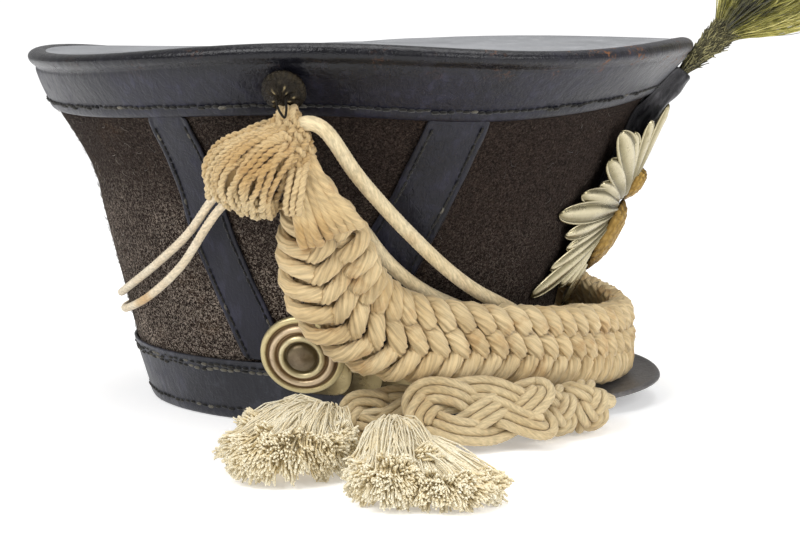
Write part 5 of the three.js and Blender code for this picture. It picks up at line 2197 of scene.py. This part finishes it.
FRONT_ROUTE = (
    (4, -151, 132.5), (8.8, -153, 136.9), (15.2, -152.2, 134.9), (20.4, -146.8, 126), (25.7, -139, 115.4),
    (32.9, -129.5, 104.5), (40.1, -119, 94), (47.8, -108, 83.7), (54.3, -99, 75.4), (61.3, -90, 67.6),
    (70.1, -79, 59.3), (80, -68, 52.6), (91, -54, 42), (98, -46.5, 27), (100, -46.5, 17),
    (105, -53, 11.8), (116, -57.5, 11.4), (125, -63.5, 12), (127, -71.5, 12.4), (122.7, -75.4, 12.5))
FRONT_HIDDEN = ((113, -79.5, 12), (100, -90.6, 12), (92.2, -99, 15), (80, -104.3, 16.5), (67, -110, 16.4),
                (52, -116.5, 16.2), (43.5, -122, 15), (40, -131.8, 9.6))
BACK_ROUTE = (
    (1.5, -148.2, 131.5), (1.2, -143.6, 127.6), (3.5, -137.8, 120.8), (9, -133.5, 112), (16, -127, 101),
    (25, -118.5, 92.0), (31.8, -110, 79.6), (42.7, -97.5, 66.2), (52.4, -86.8, 58.3), (68, -72.5, 49.5),
    (82, -59.5, 41), (89.4, -46.2, 31), (93, -42.5, 20), (93.6, -48.2, 12), (100, -59, 11.4),
    (108, -63, 11.8), (116.4, -64.6, 12.2), (120, -68.9, 12.5), (113, -79.5, 12), (100, -90.6, 12),
    (87.4, -93, 12.4), (80, -88.8, 13), (70, -90.4, 15), (58.8, -95.6, 17.2))
BACK_HIDDEN = ((48, -99.4, 15.6), (36, -103, 14), (24, -106.6, 12.4), (16, -112, 10.5), (12.5, -121.5, 9.6))


def build_cap_lines(cord: Material, fine: Material, fringe: Material) -> None:
    """Builds the loose lines with their slides, mats and tassels.

    Args:
        cord: finish of the braided cords.
        fine: finish of the mats and slides.
        fringe: finish of the tassels.
    """
    front_place = np.array(SLIDE_PLACE) + unit(np.array(SLIDE_AXIS)) * SLIDE_GAP
    slide_back = Slide("turks_head_back", "slide_back", SLIDE_PLACE).build(fine)
    slide_front = Slide("turks_head_front", "slide_front", tuple(front_place)).build(fine)
    mat_front = Mat("woven_mat_front", "flounder_front", (42.5, -121.5, 16.2), (104, -104, 16.6), half=15.6,
                    lean=57).build(fine)
    mat_back = Mat("woven_mat_back", "flounder_back", (14.5, -109.5, 11.2), (58, -96.4, 17), half=10.4,
                   lean=60, cord=1.75, passes=(-1.75, 1.75), lift=1.85).build(fine)
    mop_front = Tassel("mop_front", "tassel_front", (40, -131.8, 9.6), (
        ((48, -184, 8.5), (17, 30, 12)), ((69, -193, 6.5), (20, 19, 8))), seed=41).build(fringe)
    mop_back = Tassel("mop_back", "tassel_back", (12.5, -121.5, 9.6), (
        ((0, -160, 10.5), (22, 28, 15)), ((15, -155, 9), (14, 22, 12))), seed=47).build(fringe)
    LooseLine("line_front", ("cord_front",), FRONT_ROUTE, FRONT_HIDDEN).build(
        cord, [slide_back, mat_front, mop_front])
    LooseLine("line_back", ("cord_back", "cord_back_end"), BACK_ROUTE, BACK_HIDDEN).build(
        cord, [slide_front, mat_back, mop_back])


BOSS_TONES = (
    (0.0, (0.13, 0.095, 0.075)), (2.4, (0.09, 0.065, 0.05)), (6.0, (0.05, 0.035, 0.026)),
    (7.0, (0.07, 0.05, 0.03)), (7.6, (0.60, 0.52, 0.30)), (9.6, (0.66, 0.58, 0.36)),
    (10.4, (0.16, 0.09, 0.045)), (11.2, (0.20, 0.115, 0.065)), (12.0, (0.60, 0.47, 0.32)),
    (13.6, (0.60, 0.46, 0.32)), (14.6, (0.10, 0.05, 0.025)), (15.2, (0.14, 0.075, 0.035)),
    (16.0, (0.55, 0.46, 0.24)), (18.4, (0.58, 0.50, 0.28)))
# Gilt, bronze, brass and silver tones run from painted shade at 0 to painted highlight at 1; the brass's dark
# end is also tarnish where the scales overlap.
GILT_TONES = ((0.0, (0.012, 0.008, 0.004)), (0.45, (0.17, 0.10, 0.025)), (1.0, (0.52, 0.34, 0.10)))
BRONZE_TONES = ((0.0, (0.006, 0.0045, 0.003)), (0.5, (0.022, 0.017, 0.009)), (1.0, (0.30, 0.235, 0.12)))
BRASS_TONES = ((0.0, (0.022, 0.016, 0.009)), (0.5, (0.20, 0.155, 0.075)), (1.0, (0.52, 0.43, 0.235)))
SILVER_TONES = ((0.0, (0.07, 0.058, 0.03)), (0.5, (0.26, 0.225, 0.13)), (1.0, (0.56, 0.50, 0.345)))


def main() -> None:
    """Builds the stage, the cap lines, the crown, the metal and the plume, and logs each piece's faces."""
    logging.basicConfig(level=logging.INFO, format="%(name)s %(message)s")
    studio = Studio()
    studio.place_camera()
    cord = YarnFinish("braided_cord", pale=(0.71, 0.60, 0.39), deep=(0.56, 0.43, 0.23), along=3.0,
                      around=16.0, slant=0.0, relief=0.5, stains=0.3).material()
    plait = YarnFinish("plait_cord", pale=(0.67, 0.53, 0.31), deep=(0.47, 0.325, 0.15),
                       stain=(0.40, 0.22, 0.075), stains=0.6, knot=0.35, along=0.9, around=15.0, slant=0.0,
                       relief=0.8).material()
    rope = YarnFinish("rope", pale=(0.62, 0.49, 0.28), deep=(0.42, 0.26, 0.095), stains=0.6, knot=0.25,
                      along=1.5, slant=0.0, mottle=0.25).material()
    fine = YarnFinish("fine_cord", pale=(0.58, 0.47, 0.285), deep=(0.47, 0.355, 0.185), along=3.0,
                      around=12.0, slant=0.0, stains=0.3, relief=0.4).material()
    thin = YarnFinish("thin_cord", pale=(0.70, 0.62, 0.47), deep=(0.52, 0.32, 0.13),
                      stain=(0.66, 0.53, 0.33), stains=0.3, mottle=0.2, slant=0.0).material()
    # The fringe's glow (through) is painted light that warms the shade among its yarns.
    fringe = YarnFinish("fringe", pale=(0.90, 0.85, 0.69), deep=(0.72, 0.57, 0.29),
                        stain=(0.68, 0.54, 0.29), stains=0.2, around=4.0, through=0.05,
                        mottle=0.15).material()
    build_cap_lines(cord, fine, fringe)
    leather = LeatherFinish("leather", rubbed=0.8, wear=1.0).material()
    # The thread's pale tone is pale thread on the foot band and painted glints on dark thread elsewhere.
    thread = YarnFinish("thread", pale=(0.13, 0.12, 0.095), deep=(0.003, 0.003, 0.004),
                        stain=(0.009, 0.009, 0.010), mottle=0.2, stains=0.5).material()
    Crown().build(
        FeltFinish().material(),
        YarnFinish("felt_hair", pale=(0.40, 0.34, 0.28), deep=(0.022, 0.015, 0.012),
                   stain=(0.12, 0.065, 0.03), mottle=0.1, stains=0.3).material(),
        leather, LeatherFinish("foot_leather", deep=(0.013, 0.0135, 0.018),
                               scuffed=(0.048, 0.049, 0.063)).material(),
        LeatherFinish("top_leather", deep=(0.18, 0.185, 0.195), scuffed=(0.38, 0.385, 0.40),
                      hide=(0.3, 0.24, 0.18), wear=0.2, roughness=0.55, streaks=0.0).material(),
        LeatherFinish("peak_leather", deep=(0.05, 0.047, 0.047), scuffed=(0.17, 0.162, 0.158),
                      hide=(0.15, 0.095, 0.055), wear_low=-0.02, wear_high=-0.01, wear=0.5,
                      crease=(1, 1, 1), creasing=0.2, streaks=0.1).material(),
        thread)
    Festoon().build(plait)
    Knots().build(rope)
    BackCords().build(thin)
    Fittings().build(
        MetalFinish("brass", rings=BRASS_TONES, bright=(0.44, 0.36, 0.19), dull=(0.17, 0.125, 0.055),
                    amount=0.6).material(),
        MetalFinish("boss_brass", rings=BOSS_TONES, metallic=0.8, roughness=0.38, amount=0.35).material(),
        MetalFinish("bronze", rings=BRONZE_TONES, bright=(0.05, 0.036, 0.018), dull=(0.004, 0.003, 0.002),
                    tarnish=(0.002, 0.002, 0.0015), roughness=0.3, metallic=0.4, specular=0.18, amount=0.8,
                    pitting=0.6).material(),
        MetalFinish("silver", rings=SILVER_TONES, bright=(0.47, 0.42, 0.275), dull=(0.31, 0.265, 0.15),
                    tarnish=(0.13, 0.10, 0.05), amount=0.35, roughness=0.3, metallic=1.0).material(),
        MetalFinish("gilt", rings=GILT_TONES, bright=(0.40, 0.25, 0.065), dull=(0.2, 0.115, 0.025),
                    tarnish=(0.03, 0.02, 0.01), amount=0.6, roughness=0.36, pitting=0.4).material())
    stem = YarnFinish("stem_wrap", pale=(0.34, 0.31, 0.14), deep=(0.016, 0.014, 0.008),
                      stain=(0.02, 0.014, 0.008), mottle=0.1).material()
    pocket = LeatherFinish("pocket_leather", deep=(0.004, 0.004, 0.005), scuffed=(0.075, 0.072, 0.078),
                           creasing=1.4)
    Plume().build(pocket.material(), FeatherFinish().material(), stem)
    studio.light()
    studio.lay_floor()


if __name__ == "__main__":
    main()
